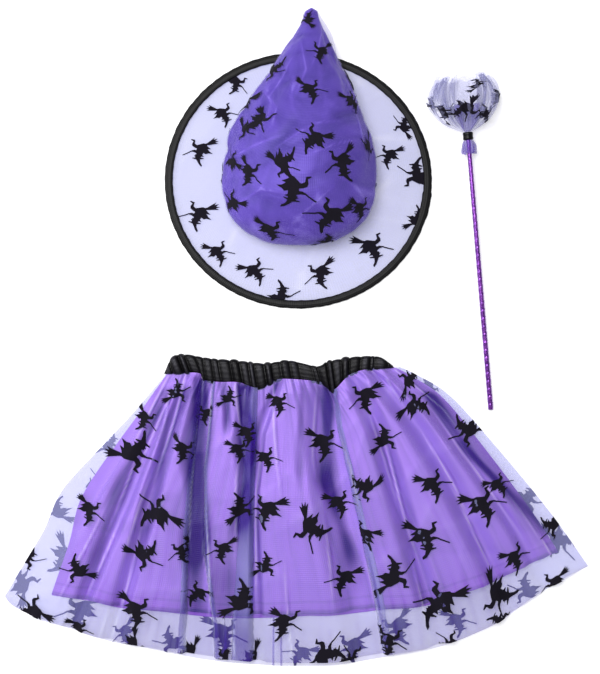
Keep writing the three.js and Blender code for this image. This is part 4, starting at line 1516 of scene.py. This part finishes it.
# Rings of the crown: share of its length, front y and z, back y and z, half width, sideways and how
# flat the side is that it lies on.
CROWN_RINGS = (
    (0.0, -73, 2.8, 73, 2.8, 73, 0, 0),
    (0.07, -76, 18, 79, 5.6, 83, 0.5, 0.1),
    (0.14, -74, 38, 86, 6.6, 87.5, 1, 0.2),
    (0.21, -65, 57, 94, 6.8, 87, 1.5, 0.3),
    (0.28, -48, 73, 102, 7, 80, 2.5, 0.4),
    (0.35, -25, 84, 110, 7, 74, 3.5, 0.5),
    (0.42, 4, 87, 118, 7.2, 67, 5, 0.5),
    (0.49, 34, 84, 128, 7.2, 59.5, 7, 0.5),
    (0.56, 64, 76, 138, 7.4, 51, 9, 0.5),
    (0.64, 93, 66, 149, 7.6, 42, 10.8, 0.4),
    (0.72, 119, 55, 160, 8, 32.5, 12.5, 0.3),
    (0.80, 143, 45, 171, 8, 22.5, 13.8, 0.2),
    (0.87, 163, 37, 180, 9, 14.5, 14.4, 0.1),
    (0.93, 178, 31, 187.5, 13, 9.6, 14.8, 0),
    (0.97, 187.5, 27, 191.5, 17, 6.8, 15, 0),
    (1.0, 193.2, 22.4, 193.6, 21.6, 0.4, 15, 0),
)


@dataclass(frozen=True)
class Crease:
    """A trough that runs over the crown, as looked down on.

    Attributes:
        line: Rows of x and y from the middle of the hat.
        deep: Its depth.
        half: Half its width.
        sharp: Whether its bottom is a crease rather than a soft hollow.
    """

    line: Line
    deep: float
    half: float
    sharp: bool = False

    def __call__(self, spot: Array) -> Array:
        """The depth at these places.

        Args:
            spot: Points from the middle of the hat, in millimetres.

        Returns:
            The values.
        """
        rows = np.array(self.line)
        best = np.full(len(spot), np.inf)
        way = np.zeros(len(spot))
        lengths = np.linalg.norm(np.diff(rows, axis=0), axis=1)
        starts = np.concatenate([[0], np.cumsum(lengths)[:-1]])
        for a, b, start, long in zip(rows[:-1], rows[1:], starts, lengths):
            share = np.clip(((spot - a) @ (b - a)) / long**2, 0, 1)
            away = np.linalg.norm(spot - (a + share[:, None] * (b - a)), axis=1)
            nearer = away < best
            best = np.where(nearer, away, best)
            way = np.where(nearer, (start + share * long) / lengths.sum(), way)
        profile = tent(best / self.half) if self.sharp else hump(best / self.half)
        return self.deep * profile * np.sin(np.pi * np.clip(0.04 + 0.92 * way, 0, 1)) ** 0.6


CREASES = (
    Crease(((-42, 14), (-12, 42), (4, 66)), 4.5, 13),
    Crease(((-52, -4), (-20, 22), (12, 36), (34, 38)), 2.5, 10, True),
    Crease(((22, 40), (48, 58), (72, 72), (92, 82)), 4.0, 12),
    Crease(((30, 166), (38, 140), (52, 112), (58, 86)), 3.5, 8, True),
    Crease(((-30, 92), (-8, 104), (20, 108)), 2.5, 9, True),
    Crease(((-70, -10), (-40, -34), (0, -46)), 2.0, 12),
    Crease(((10, -12), (40, 2), (70, 24)), 2.5, 12),
    Crease(((-12, 150), (4, 160), (22, 160)), 2.0, 7, True),
    Crease(((-54, 40), (-40, 70), (-30, 96)), 2.5, 8),
)
# Sharp crests that stand up between the crown's hollows, also painted in as highlight lines on its upper
# side.
CROWN_CRESTS = (
    Crease(((3, 150), (9, 117), (-3, 86)), 1.0, 2.6, True),
    Crease(((27, 168), (22, 140), (14, 118)), 1.0, 2.4, True),
    Crease(((36, 138), (59, 101), (86, 56)), 1.0, 2.6, True),
    Crease(((14, 52), (44, 58), (80, 72)), 1.0, 2.2, True),
    Crease(((10, 18), (43, 32), (78, 40)), 1.0, 2.2, True),
    Crease(((-26, 26), (5, 46), (34, 60)), 1.0, 2.2, True),
    Crease(((-78, 18), (-45, 32), (-14, 42)), 1.0, 2.6, True),
    Crease(((-70, -34), (-41, -18), (-8, -25)), 1.0, 2.6, True),
    Crease(((40, 0), (64, -15), (80, -36)), 1.0, 2.6, True),
    Crease(((-10, -58), (18, -34), (40, -14)), 1.0, 2.4, True),
    Crease(((47, 96), (66, 66), (76, 22)), 1.0, 2.2, True),
    Crease(((-40, 96), (-24, 72), (-30, 48)), 1.0, 2.6, True),
    Crease(((-8, 132), (-18, 108), (-34, 84)), 1.0, 2.6, True),
)
CREST_HIGH = 1.1  # the height of each of them


def depth(creases: Sequence[Crease], points: Array) -> Array:
    """Depth of several creases together, at points from the middle of the hat."""
    return sum(crease(points[:, :2]) for crease in creases)


@dataclass
class Hat:
    """The pointed hat: a sheer wired brim and a soft crown that has fallen back.

    Attributes:
        figure: The flocked figure.
        lap_angle: Where the binding's ends lap, in radians.
        lap_reach: Half the length of the lap and how fast it ends, in radians.
        overlay_off: How far the organza stands off the satin.
        flock_off: The same of the flock on it.
        tip_puff: How much further they stand off beside the tip.
        crown_spacing: Least distance between figures on the crown's hidden side.
        crown_tries: Throws of a figure there.
        crown_large: Size of the larger of them and their share.
        crown_grid: Faces round the crown and up it.
        brim_grid: Faces round the brim and across it.
        binding_grid: Faces round the binding and round its section.
    """

    figure: Figure
    lap_angle: float = -0.2
    lap_reach: tuple[float, float] = (0.11, 0.012)
    overlay_off: float = 1.3
    flock_off: float = 1.9
    tip_puff: float = 6.0
    crown_spacing: float = 44
    crown_tries: int = 3000
    crown_large: tuple[float, float] = (50.0, 0.4)
    crown_grid: tuple[int, int] = (190, 150)
    brim_grid: tuple[int, int] = (300, 32)
    binding_grid: tuple[int, int] = (360, 16)

    def crown_surface(self, off: float, puff: float) -> Surface:
        """The crown's surface.

        Args:
            off: How far it stands off the satin.
            puff: How much further the overlay stands off beside the tip.

        Returns:
            The surface, from shares round the crown and up it.
        """
        table = Table(CROWN_RINGS)

        def surface(around: Array, up: Array) -> Array:
            """Points of the crown at shares round it and up it."""
            front_y, front_z, back_y, back_z, half, side, flat = table(up)
            half = half * (1 - 0.06 * smooth((up - 0.3) / 0.3) * (1 - smooth((up - 0.85) / 0.1)))
            angle = 2 * np.pi * around
            degrees = np.degrees(angle)
            front = np.column_stack([front_y, front_z])
            back = np.column_stack([back_y, back_z])
            middle = (front + back) / 2
            span = np.linalg.norm(front - back, axis=1)
            rise = (front - back) / np.maximum(span, 1e-6)[:, None]
            turn = (degrees - 10 + 540) % 360 - 180
            stand = off + puff * hump((up - 0.84) / 0.14) * hump(turn / 70)
            square = 1 - 0.24 * smooth(up / 0.06) * (1 - smooth((up - 0.16) / 0.3))
            low = np.where(np.sin(angle) < 0, 1 - 0.5 * flat, square)
            across = squared(np.cos(angle), low)
            above = squared(np.sin(angle), low)

            def at(out: Array) -> Array:
                """Points this far outside the crown's rings."""
                reach = span / 2 + out
                return np.column_stack(
                    [
                        side + (half + out) * across,
                        middle[:, 0] + rise[:, 0] * reach * above,
                        middle[:, 1] + rise[:, 1] * reach * above,
                    ]
                )

            plain = at(stand)
            upper = smooth((np.sin(angle) + 0.35) / 0.6)
            deep = depth(CREASES, plain) * upper
            deep += self.crown_crumple(plain) - CREST_HIGH * upper * depth(CROWN_CRESTS, plain)
            under = 0.6 * (1 - upper) * (1 + np.sin(9 * angle + 14 * up)) * smooth(up / 0.1)
            soft = 0.5 * (1 + np.sin(5 * angle + 23 * up)) * smooth(up / 0.1) * smooth((1 - up) / 0.2)
            hold = smooth((1 - up) / 0.08) * smooth(up / 0.04)
            shape = at(stand - (deep + under + soft) * hold)
            shape[:, :2] += HAT_CENTRE
            return shape

        return surface

    def crown_crumple(self, spot: Array) -> Array:
        """Depth of the small creases at points measured from the middle of the hat."""
        lean = spot[:, 0] + 0.6 * spot[:, 2]
        return crumple(lean, spot[:, 1], 2.4, 34, 4) + crumple(lean, spot[:, 1], 1.3, 17, 14)

    def crown_shade(self, around: Array, up: Array, points: Array) -> Array:
        """The crown's painted shade in its creases and painted highlight on its crests.

        Args:
            around: Shares round it; not used.
            up: Shares up it; not used.
            points: The points there.

        Returns:
            Painted shade up to 1 deep in a fold, painted highlight down to -1 on a crest.
        """
        spot = points - np.array([*HAT_CENTRE, 0])
        lean = spot[:, 0] + 0.6 * spot[:, 2]
        # Painted highlight lines along small creases and, on the upper side, along the crests; painted shade
        # in the creases, less of it towards the crown's front at its base.
        lines = np.clip(crumple(lean + 2, spot[:, 1] + 2, 1.0, 34, 4) - 0.3, 0, 1)
        lines += np.clip(crumple(lean, spot[:, 1], 1.0, 22, 24) - 0.45, 0, 1)
        deep = 0.28 * self.crown_crumple(spot) + 0.16 * depth(CREASES, spot)
        low = 0.25 * smooth((-20 - spot[:, 1]) / 60)
        crests = depth(CROWN_CRESTS, spot) * (spot[:, 2] > 30)
        return np.clip(deep - low + 0.1 - 0.8 * lines - 0.8 * crests, -1, 1)

    def brim_surface(self, around: Array, out: Array) -> Array:
        """Points of the brim's cloth from the crown seam to the binding.

        Args:
            around: Shares round it.
            out: Shares from the crown to the binding.

        Returns:
            Points in millimetres.
        """
        angle = 2 * np.pi * around
        inner = HEAD_RADIUS - SEAM_TURNED
        reach = BRIM_REACH - BINDING_WIDE * 0.7
        x = (inner + (reach[0] - inner) * out) * np.cos(angle)
        y = (inner + (reach[1] - inner) * out) * np.sin(angle)
        free = np.sin(np.pi * out)
        wave = 0.5 * np.sin(7 * angle) + 0.35 * np.sin(12 * angle + 1) + 0.25 * np.sin(19 * angle + 4 * out)
        return np.column_stack([x + HAT_CENTRE[0], y + HAT_CENTRE[1], 1.9 + wave * free])

    def brim_shade(self, around: Array, out: Array, points: Array) -> Array:
        """Painted light on the brim's cloth: light and dark patches and bright lines as of soft creases from
        packing, and painted shade in streaks next to the binding and next to the crown.
        """
        x, y = points[:, 0], points[:, 1]
        soft = crumple(x, y, 1.0, 70, 41) - crumple(x + 5, y - 4, 1.0, 70, 41)
        lines = np.clip(crumple(x, y, 1.0, 58, 43) - 0.45, 0, 1)
        edge = smooth((out - 0.93) / 0.06) * (0.5 + 0.5 * np.sin(97 * around * np.pi))
        seam = 0.4 * smooth((0.06 - out) / 0.05)
        return np.clip(0.12 + 0.35 * soft - 0.6 * lines + 0.5 * edge + seam, -1, 1)

    def binding_surface(self, around: Array, section: Array) -> Array:
        """Points of the bias binding that holds the hoop.

        Args:
            around: Shares round it.
            section: Shares round its section.

        Returns:
            Points in millimetres.
        """
        angle = 2 * np.pi * around
        turn = 2 * np.pi * section
        off = np.arctan2(np.sin(angle - self.lap_angle), np.cos(angle - self.lap_angle))
        lap = smooth((self.lap_reach[0] - np.abs(off)) / self.lap_reach[1])
        pucker = 0.4 * np.sin(83 * angle + 2 * np.sin(5 * angle))
        pucker = pucker + 0.5 * np.sin(37 * angle + 2) * np.sin(3 * angle)
        wide = BINDING_WIDE * (0.5 + 0.06 * lap)
        high = BINDING_HIGH * (0.5 + 0.06 * lap)
        out = squared(np.cos(turn), 0.7) * (wide + 0.4 * pucker)
        up = squared(np.sin(turn), 0.8) * (high + 0.15 * pucker)
        back = BRIM_REACH[:, None] - BINDING_WIDE / 2 + out
        rise = np.maximum(BINDING_HIGH / 2 + up, 0.0)
        x = back[0] * np.cos(angle) + HAT_CENTRE[0]
        y = back[1] * np.sin(angle) + HAT_CENTRE[1]
        return np.column_stack([x, y, rise])

    def build(self) -> list[bpy.types.Object]:
        satin = piece_from(
            woven_grid(
                *self.crown_grid,
                self.crown_surface(0.0, 0.0),
                (0.46, 0.3),
                close=True,
                shade=self.crown_shade,
            ),
            "hat_crown_inner_satin",
            CROWN_SATIN,
        )
        overlay = piece_from(
            woven_grid(
                *self.crown_grid, self.crown_surface(self.overlay_off, self.tip_puff), (0.46, 0.3), close=True
            ),
            "hat_crown_overlay",
            CROWN_ORGANZA,
        )
        brim = piece_from(
            woven_grid(*self.brim_grid, self.brim_surface, (0.7, 0.08), close=True, shade=self.brim_shade),
            "hat_brim_cloth",
            BRIM_ORGANZA,
        )
        binding = piece_from(
            woven_grid(*self.binding_grid, self.binding_surface, (0.95, 0.03), close=True),
            "hat_brim_binding",
            BINDING_SATIN,
        )
        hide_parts("hat_crown_satin")
        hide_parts("hat_crown_organza")
        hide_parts("hat_brim")
        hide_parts("hat_binding")
        crown_marks = self.flock_crown()
        brim_marks = self.flock_brim()
        return [satin, overlay, brim, binding, crown_marks, brim_marks]

    def flock_crown(self) -> bpy.types.Object:
        """Lays the figures on the crown's overlay."""
        surface = self.crown_surface(self.flock_off, self.tip_puff)
        steps = np.linspace(0, 1, 181)
        around, up = (grid.ravel() for grid in np.meshgrid(steps, steps))
        points = surface(around, up)
        marks: list[Mark] = []
        spots: list[Array] = []
        seen = (around > 0.0) & (around < 0.5)
        grown = points[:, :2] / (1 - points[:, 2:] / VIEW_HIGH)
        hidden = np.where(seen, 0, 1e3)
        for mark in marks_from(CROWN_MARKS):
            away = np.linalg.norm(grown - (np.array([mark.x, mark.y]) + HAT_CENTRE), axis=1) + hidden
            index = int(away.argmin())
            marks.append(Mark(around[index], up[index], mark.size, mark.turn, mark.flip))
            spots.append(points[index])
        random = np.random.default_rng(SEED + 7)
        large, share = self.crown_large
        for _ in range(self.crown_tries):
            index = random.integers(len(points))
            if seen[index] or not 0.05 < up[index] < 0.93:
                continue
            if all(np.linalg.norm(points[index] - spot) > self.crown_spacing for spot in spots):
                spots.append(points[index])
                size = large if random.random() < share else SMALL_FIGURE
                turn = random.uniform(0, 360)
                marks.append(Mark(around[index], up[index], size, turn, bool(random.random() < 0.5)))

        def place(mark: Mark, offsets: Array) -> Array:
            """Points of a figure on the crown, laid square to the cloth there."""
            step = 2e-3
            probe_around = np.array([mark.x, mark.x + step, mark.x])
            probe_up = np.array([mark.y, mark.y, mark.y + step])
            here, beside, above = surface(probe_around, probe_up)
            rates = np.column_stack([(beside - here) / step, (above - here) / step])
            first = -rates[:, 0] / np.linalg.norm(rates[:, 0])
            second = rates[:, 1] - first * (first @ rates[:, 1])
            second /= np.linalg.norm(second)
            frame = np.column_stack([first, second])
            shifts = offsets @ np.linalg.inv(frame.T @ rates).T
            return surface((mark.x + shifts[:, 0]) % 1.0, np.clip(mark.y + shifts[:, 1], 0.0, 0.995))

        return self.figure.lay("hat_flock_crown", marks, place)

    def flock_brim(self) -> bpy.types.Object:
        """Lays the figures on the brim."""

        def place(mark: Mark, offsets: Array) -> Array:
            """Points of a figure on the brim, cut short at the binding."""
            spot = offsets + np.array([mark.x, mark.y])
            reach = BRIM_REACH - BINDING_WIDE / 2
            far = np.hypot(spot[:, 0] / reach[0], spot[:, 1] / reach[1])
            spot = spot / np.maximum(far, 1)[:, None]
            away = np.hypot(spot[:, 0], spot[:, 1])
            edge = away / np.maximum(far, 0.1)
            out = (away - HEAD_RADIUS + SEAM_TURNED) / (edge - HEAD_RADIUS + SEAM_TURNED)
            around = (np.arctan2(spot[:, 1], spot[:, 0]) / (2 * np.pi)) % 1
            cloth = self.brim_surface(around, np.clip(out, 0, 1))
            return np.column_stack([spot + HAT_CENTRE, cloth[:, 2] + 0.35])

        return self.figure.lay("hat_flock_brim", marks_from(BRIM_MARKS), place)


# Wand

STICK_BUTT = np.array([223.0, -84.0, 2.9])
STICK_NECK = np.array([196.5, 207.0, 19.0])
# The stick's profile: share of its rows, share of its length and fullness.
STICK_PROFILE = ((0, 0.0, 0.0), (0.012, 0.0, 0.86), (0.024, 0.002, 1.0), (0.985, 0.995, 1.0), (1.0, 1.0, 0.0))
# Profiles round the stick's end: share of the rows, distance past the neck, radius and ruffle.
PUFF_ROWS = (
    (0.0, 25.2, 5.4, 0.04), (0.12, 29, 12, 0.1), (0.28, 37, 24, 0.12), (0.46, 50, 33, 0.12),
    (0.64, 63, 36.5, 0.14), (0.82, 75, 34, 0.17), (0.94, 83, 29, 0.2), (1.0, 86, 25, 0.22),
)  # fmt: skip
FRILL_ROWS = (
    (0.0, 26, 4.6, 0.05), (0.2, 36, 13, 0.14), (0.45, 54, 22, 0.2), (0.75, 76, 26, 0.24), (1.0, 90, 22, 0.28),
)  # fmt: skip
HEART_ROWS = (
    (0.0, 25.5, 3.6, 0.05), (0.25, 31, 6, 0.25), (0.5, 39, 8, 0.45), (0.75, 47, 9, 0.6), (1.0, 55, 8, 0.75),
)  # fmt: skip
TAIL_ROWS = ((0.0, 0.4, 6.2, 0.3), (0.3, 4, 7.0, 0.22), (0.7, 11, 6.6, 0.16), (1.0, 15.6, 5.2, 0.06))
TIE_ROWS = (
    (0.0, 16.0, 3.4, 0.0), (0.12, 16.0, 5.0, 0.0), (0.3, 17.6, 5.9, 0.01), (0.5, 20.4, 5.6, 0.01),
    (0.7, 23.2, 5.9, 0.01), (0.88, 24.9, 5.0, 0.0), (1.0, 24.9, 3.4, 0.0),
)  # fmt: skip
# Figures on the puff: share round it, share up it, size, turn and whether it is mirrored.
PUFF_MARKS = (
    Mark(0.10, 0.40, 44, 30), Mark(0.24, 0.42, 48, 100, True), Mark(0.38, 0.36, 42, 110),
    Mark(0.30, 0.78, 30, 20), Mark(0.50, 0.6, 36, 300), Mark(0.64, 0.4, 42, 60, True),
    Mark(0.78, 0.55, 40, 150), Mark(0.92, 0.6, 38, 250),
)  # fmt: skip


@dataclass
class Wand:
    """The wand: a stick wound with foil tape, and a tuft of organza tied to its end.

    Attributes:
        figure: The flocked figure.
        tape_pitch: Length of stick that one turn of tape covers, in millimetres.
        tape_step: Height of the edge where a turn laps over the last, in millimetres.
        stick_radius: Radius at the butt and how much less it is at the other end, in millimetres.
        stick_inside: How far the stick runs on past the neck, inside the tie.
        puff_reach: Distance round the puff and up it that a whole share stands for.
        flock_off: How far the flock stands off the puff.
    """

    figure: Figure
    tape_pitch: float = 9.0
    tape_step: float = 0.35
    stick_radius: tuple[float, float] = (2.75, 0.4)
    stick_inside: float = 24
    puff_reach: tuple[float, float] = (190, 120)
    flock_off: float = 0.4

    def __post_init__(self) -> None:
        """Works out the stick's own directions."""
        way = STICK_NECK - STICK_BUTT
        self.long = float(np.linalg.norm(way))
        self.way = way / self.long
        side = np.cross([0, 0, 1], self.way)
        self.side = side / np.linalg.norm(side)
        self.up = np.cross(self.way, self.side)

    def around_stick(self, along: Array, radius: Array, angle: Array, floor: float = 0.0) -> Array:
        """Points round the stick.

        Args:
            along: Distance past the neck.
            radius: Distance from the stick's axis.
            angle: Angle round it.
            floor: The least height.

        Returns:
            Points in millimetres.
        """
        spot = STICK_NECK + along[:, None] * self.way
        sideways, upwards = radius * np.cos(angle), radius * np.sin(angle)
        spot = spot + sideways[:, None] * self.side + upwards[:, None] * self.up
        spot[:, 2] = np.maximum(spot[:, 2], floor)
        return spot

    def stick_surface(self, around: Array, up: Array) -> Array:
        """Points of the taped stick, with its flat butt end.

        Args:
            around: Shares round it.
            up: Shares up it.

        Returns:
            Points in millimetres.
        """
        angle = 2 * np.pi * around
        rows = np.array(STICK_PROFILE)
        share = np.interp(up, rows[:, 0], rows[:, 1])
        full = np.interp(up, rows[:, 0], rows[:, 2])
        along = share * (self.long + self.stick_inside) - self.long
        turn = along / self.tape_pitch - around
        lap = self.tape_step * (turn - np.floor(turn))
        thick, taper = self.stick_radius
        radius = (thick - taper * share) * full + lap * full
        return self.around_stick(along, radius, angle, 0.0)

    def tuft_surface(self, rows: Sequence[Sequence[float]], waves: int, salt: int, floor: float) -> Surface:
        """A puff of gathered organza.

        Args:
            rows: Share of the profile, distance along the stick, radius and ruffle.
            waves: Main ruffles round it.
            salt: Which set of uneven ruffles.
            floor: The least height.

        Returns:
            The surface.
        """
        table = Table(rows)

        def surface(around: Array, up: Array) -> Array:
            """Points of the puff at shares round it and up it."""
            along, radius, ruffle = table(up)
            angle = 2 * np.pi * around
            bunch = 0.5 * waves * angle + 0.45 * np.sin(2 * angle + salt)
            wave = 1.6 * np.abs(np.cos(bunch)) ** 0.7 - 0.9
            wave += 0.4 * np.cos((2 * waves + 1) * angle + salt + 3 * up)
            wave += 0.25 * np.cos((3 * waves - 2) * angle - salt - 5 * up)
            lobe = 0.5 * np.cos(3 * angle + salt)
            reach = radius * (1 + ruffle * (wave + lobe))
            shift = along + 3.0 * ruffle * radius / 10 * np.cos((waves - 2) * angle + salt)
            return self.around_stick(shift, np.maximum(reach, 0.3), angle, floor)

        return surface

    def tuft_shade(self, around: Array, up: Array, points: Array) -> Array:
        """Painted shade between the gathers of bunched organza, and a faint painted highlight on them."""
        ridge, first, _ = cell_ridges(around, 13, 17)
        creases = 0.4 * crumple(90 * around, 30 * up, 1.0, 9, 5)
        return np.clip((1 - ridge) * (0.5 + first) + creases - 0.3, -0.3, 1)

    def build(self) -> list[bpy.types.Object]:
        stick = piece_from(
            woven_grid(28, 560, self.stick_surface, (0.018, 0.34), close=True),
            "wand_taped_stick",
            Foil(),
        )
        # The painted shade between gathers, used on the heart and the tail.
        bunched = self.tuft_shade
        puffs = (
            ("wand_tuft_puff", TUFT_ORGANZA, (220, 60), (PUFF_ROWS, 11, 1, 0.4), (0.3, 0.12), None),
            ("wand_tuft_frill", TUFT_ORGANZA, (200, 50), (FRILL_ROWS, 9, 6, 1.2), (0.3, 0.12), None),
            ("wand_tuft_heart", HEART_ORGANZA, (140, 44), (HEART_ROWS, 7, 4, 2.0), (0.2, 0.08), bunched),
            ("wand_tail", BUNCHED_ORGANZA, (90, 14), (TAIL_ROWS, 6, 2, 0.2), (0.05, 0.016), bunched),
            ("wand_knotted_tie", BAND_SATIN, (60, 24), (TIE_ROWS, 5, 3, 0.2), (0.04, 0.014), None),
        )
        outer, frill, inner, collar, tie = (
            piece_from(
                woven_grid(*grid, self.tuft_surface(*profile), size, close=True, shade=shade),
                name,
                finish,
            )
            for name, finish, grid, profile, size, shade in puffs
        )
        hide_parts("wand_stick")
        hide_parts("wand_tuft_outer")
        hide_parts("wand_tuft_inner")
        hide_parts("wand_tuft_inner")
        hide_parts("wand_collar")
        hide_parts("wand_tie")
        flock = self.flock_puff()
        return [stick, outer, frill, inner, collar, tie, flock]

    def flock_puff(self) -> bpy.types.Object:
        """Lays the figures on the puff."""
        rows = [(share, along, radius + self.flock_off, wave) for share, along, radius, wave in PUFF_ROWS]
        lifted = self.tuft_surface(rows, 11, 1, 0.2)
        wide, high = self.puff_reach

        def place(mark: Mark, offsets: Array) -> Array:
            """Points of a figure on the puff."""
            up = np.clip(mark.y + offsets[:, 1] / high, 0.03, 0.97)
            return lifted((mark.x + offsets[:, 0] / wide) % 1.0, up)

        return self.figure.lay("wand_flock", PUFF_MARKS, place)


# Table, light and camera


@dataclass(frozen=True)
class Lamp:
    """A square soft light that faces the table's middle.

    Attributes:
        name: Its name.
        place: Where it hangs, in metres.
        size: Length of its sides, in metres.
        power: In watts.
    """

    name: str
    place: tuple[float, float, float]
    size: float
    power: float

    def hang(self) -> None:
        """Adds the light to the scene."""
        light = bpy.data.lights.new(self.name, "AREA")
        light.size = self.size
        light.energy = self.power
        holder = bpy.data.objects.new(self.name, light)
        holder.location = self.place
        holder.rotation_euler = (-Vector(self.place)).to_track_quat("-Z", "Y").to_euler()
        bpy.context.scene.collection.objects.link(holder)


@dataclass(frozen=True)
class Studio:
    """A white table under broad soft light, and a camera straight above it.

    Attributes:
        camera_high: Height of the camera, in metres.
        sensor: Its sensor's width, in millimetres.
        view_long: Length of table that the long side of the frame covers, in metres.
        aim: Where on the table it looks, in metres.
        table_half: Half the table's width, in metres.
        table_low: Height of the table's top, just under the costume, in metres.
        table_glow: Strength of the light that it gives off, which keeps the ground white.
        world_light: Strength of the light from all round.
        lamps: The softbox overhead and the window light.
    """

    camera_high: float = VIEW_HIGH * MM
    sensor: float = 36.0
    view_long: float = 0.7751
    aim: tuple[float, float] = (0.004, -0.0006)
    table_half: float = 6.0
    table_low: float = -0.0004
    table_glow: float = 0.3
    world_light: float = 0.26
    lamps: tuple[Lamp, ...] = (
        Lamp("softbox_above", (-0.35, 0.4, 2.0), 0.9, 33.0),
        Lamp("window_left", (-1.5, 0.3, 0.9), 0.7, 11.0),
    )

    def build(self) -> None:
        """Makes the table, the world, the lights and the camera."""
        self.lay_table()
        self.light()
        self.look_down()

    def lay_table(self) -> None:
        """Makes the table's top."""
        bm = bmesh.new()
        bmesh.ops.create_grid(bm, x_segments=1, y_segments=1, size=self.table_half)
        for vert in bm.verts:
            vert.co.z = self.table_low
        mesh = bpy.data.meshes.new("table_top")
        bm.to_mesh(mesh)
        bm.free()
        table = bpy.data.objects.new("table_top", mesh)
        bpy.context.scene.collection.objects.link(table)
        white = bpy.data.materials.new("table_white")
        white.use_nodes = True
        shader = white.node_tree.nodes["Principled BSDF"]
        shader.inputs["Base Color"].default_value = linear("#fbfbfd")
        shader.inputs["Roughness"].default_value = 0.9
        shader.inputs["Emission Color"].default_value = linear("#ffffff")
        shader.inputs["Emission Strength"].default_value = self.table_glow
        mesh.materials.append(white)

    def light(self) -> None:
        """Lights the set from all round and by its lamps."""
        world = bpy.data.worlds.new("soft_white")
        world.use_nodes = True
        background = world.node_tree.nodes["Background"]
        background.inputs["Color"].default_value = linear("#ffffff")
        background.inputs["Strength"].default_value = self.world_light
        bpy.context.scene.world = world
        for lamp in self.lamps:
            lamp.hang()

    def look_down(self) -> None:
        """Sets the camera above the table, and plain colours."""
        camera = bpy.data.cameras.new("overhead")
        camera.sensor_width = self.sensor
        camera.lens = self.sensor * self.camera_high / self.view_long
        holder = bpy.data.objects.new("overhead", camera)
        holder.location = (*self.aim, self.camera_high)
        bpy.context.scene.collection.objects.link(holder)
        bpy.context.scene.camera = holder
        bpy.context.scene.view_settings.view_transform = "Standard"
        bpy.context.scene.view_settings.look = "None"


def main() -> None:
    """Builds the costume and its setting."""
    logging.basicConfig(level=logging.INFO, format="%(name)s %(message)s")
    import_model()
    Studio().build()
    figure = Figure()
    for part in (Skirt(figure), Hat(figure), Wand(figure)):
        for piece in part.build():
            LOG.info("built %s", piece.name)


if __name__ == "__main__":
    main()
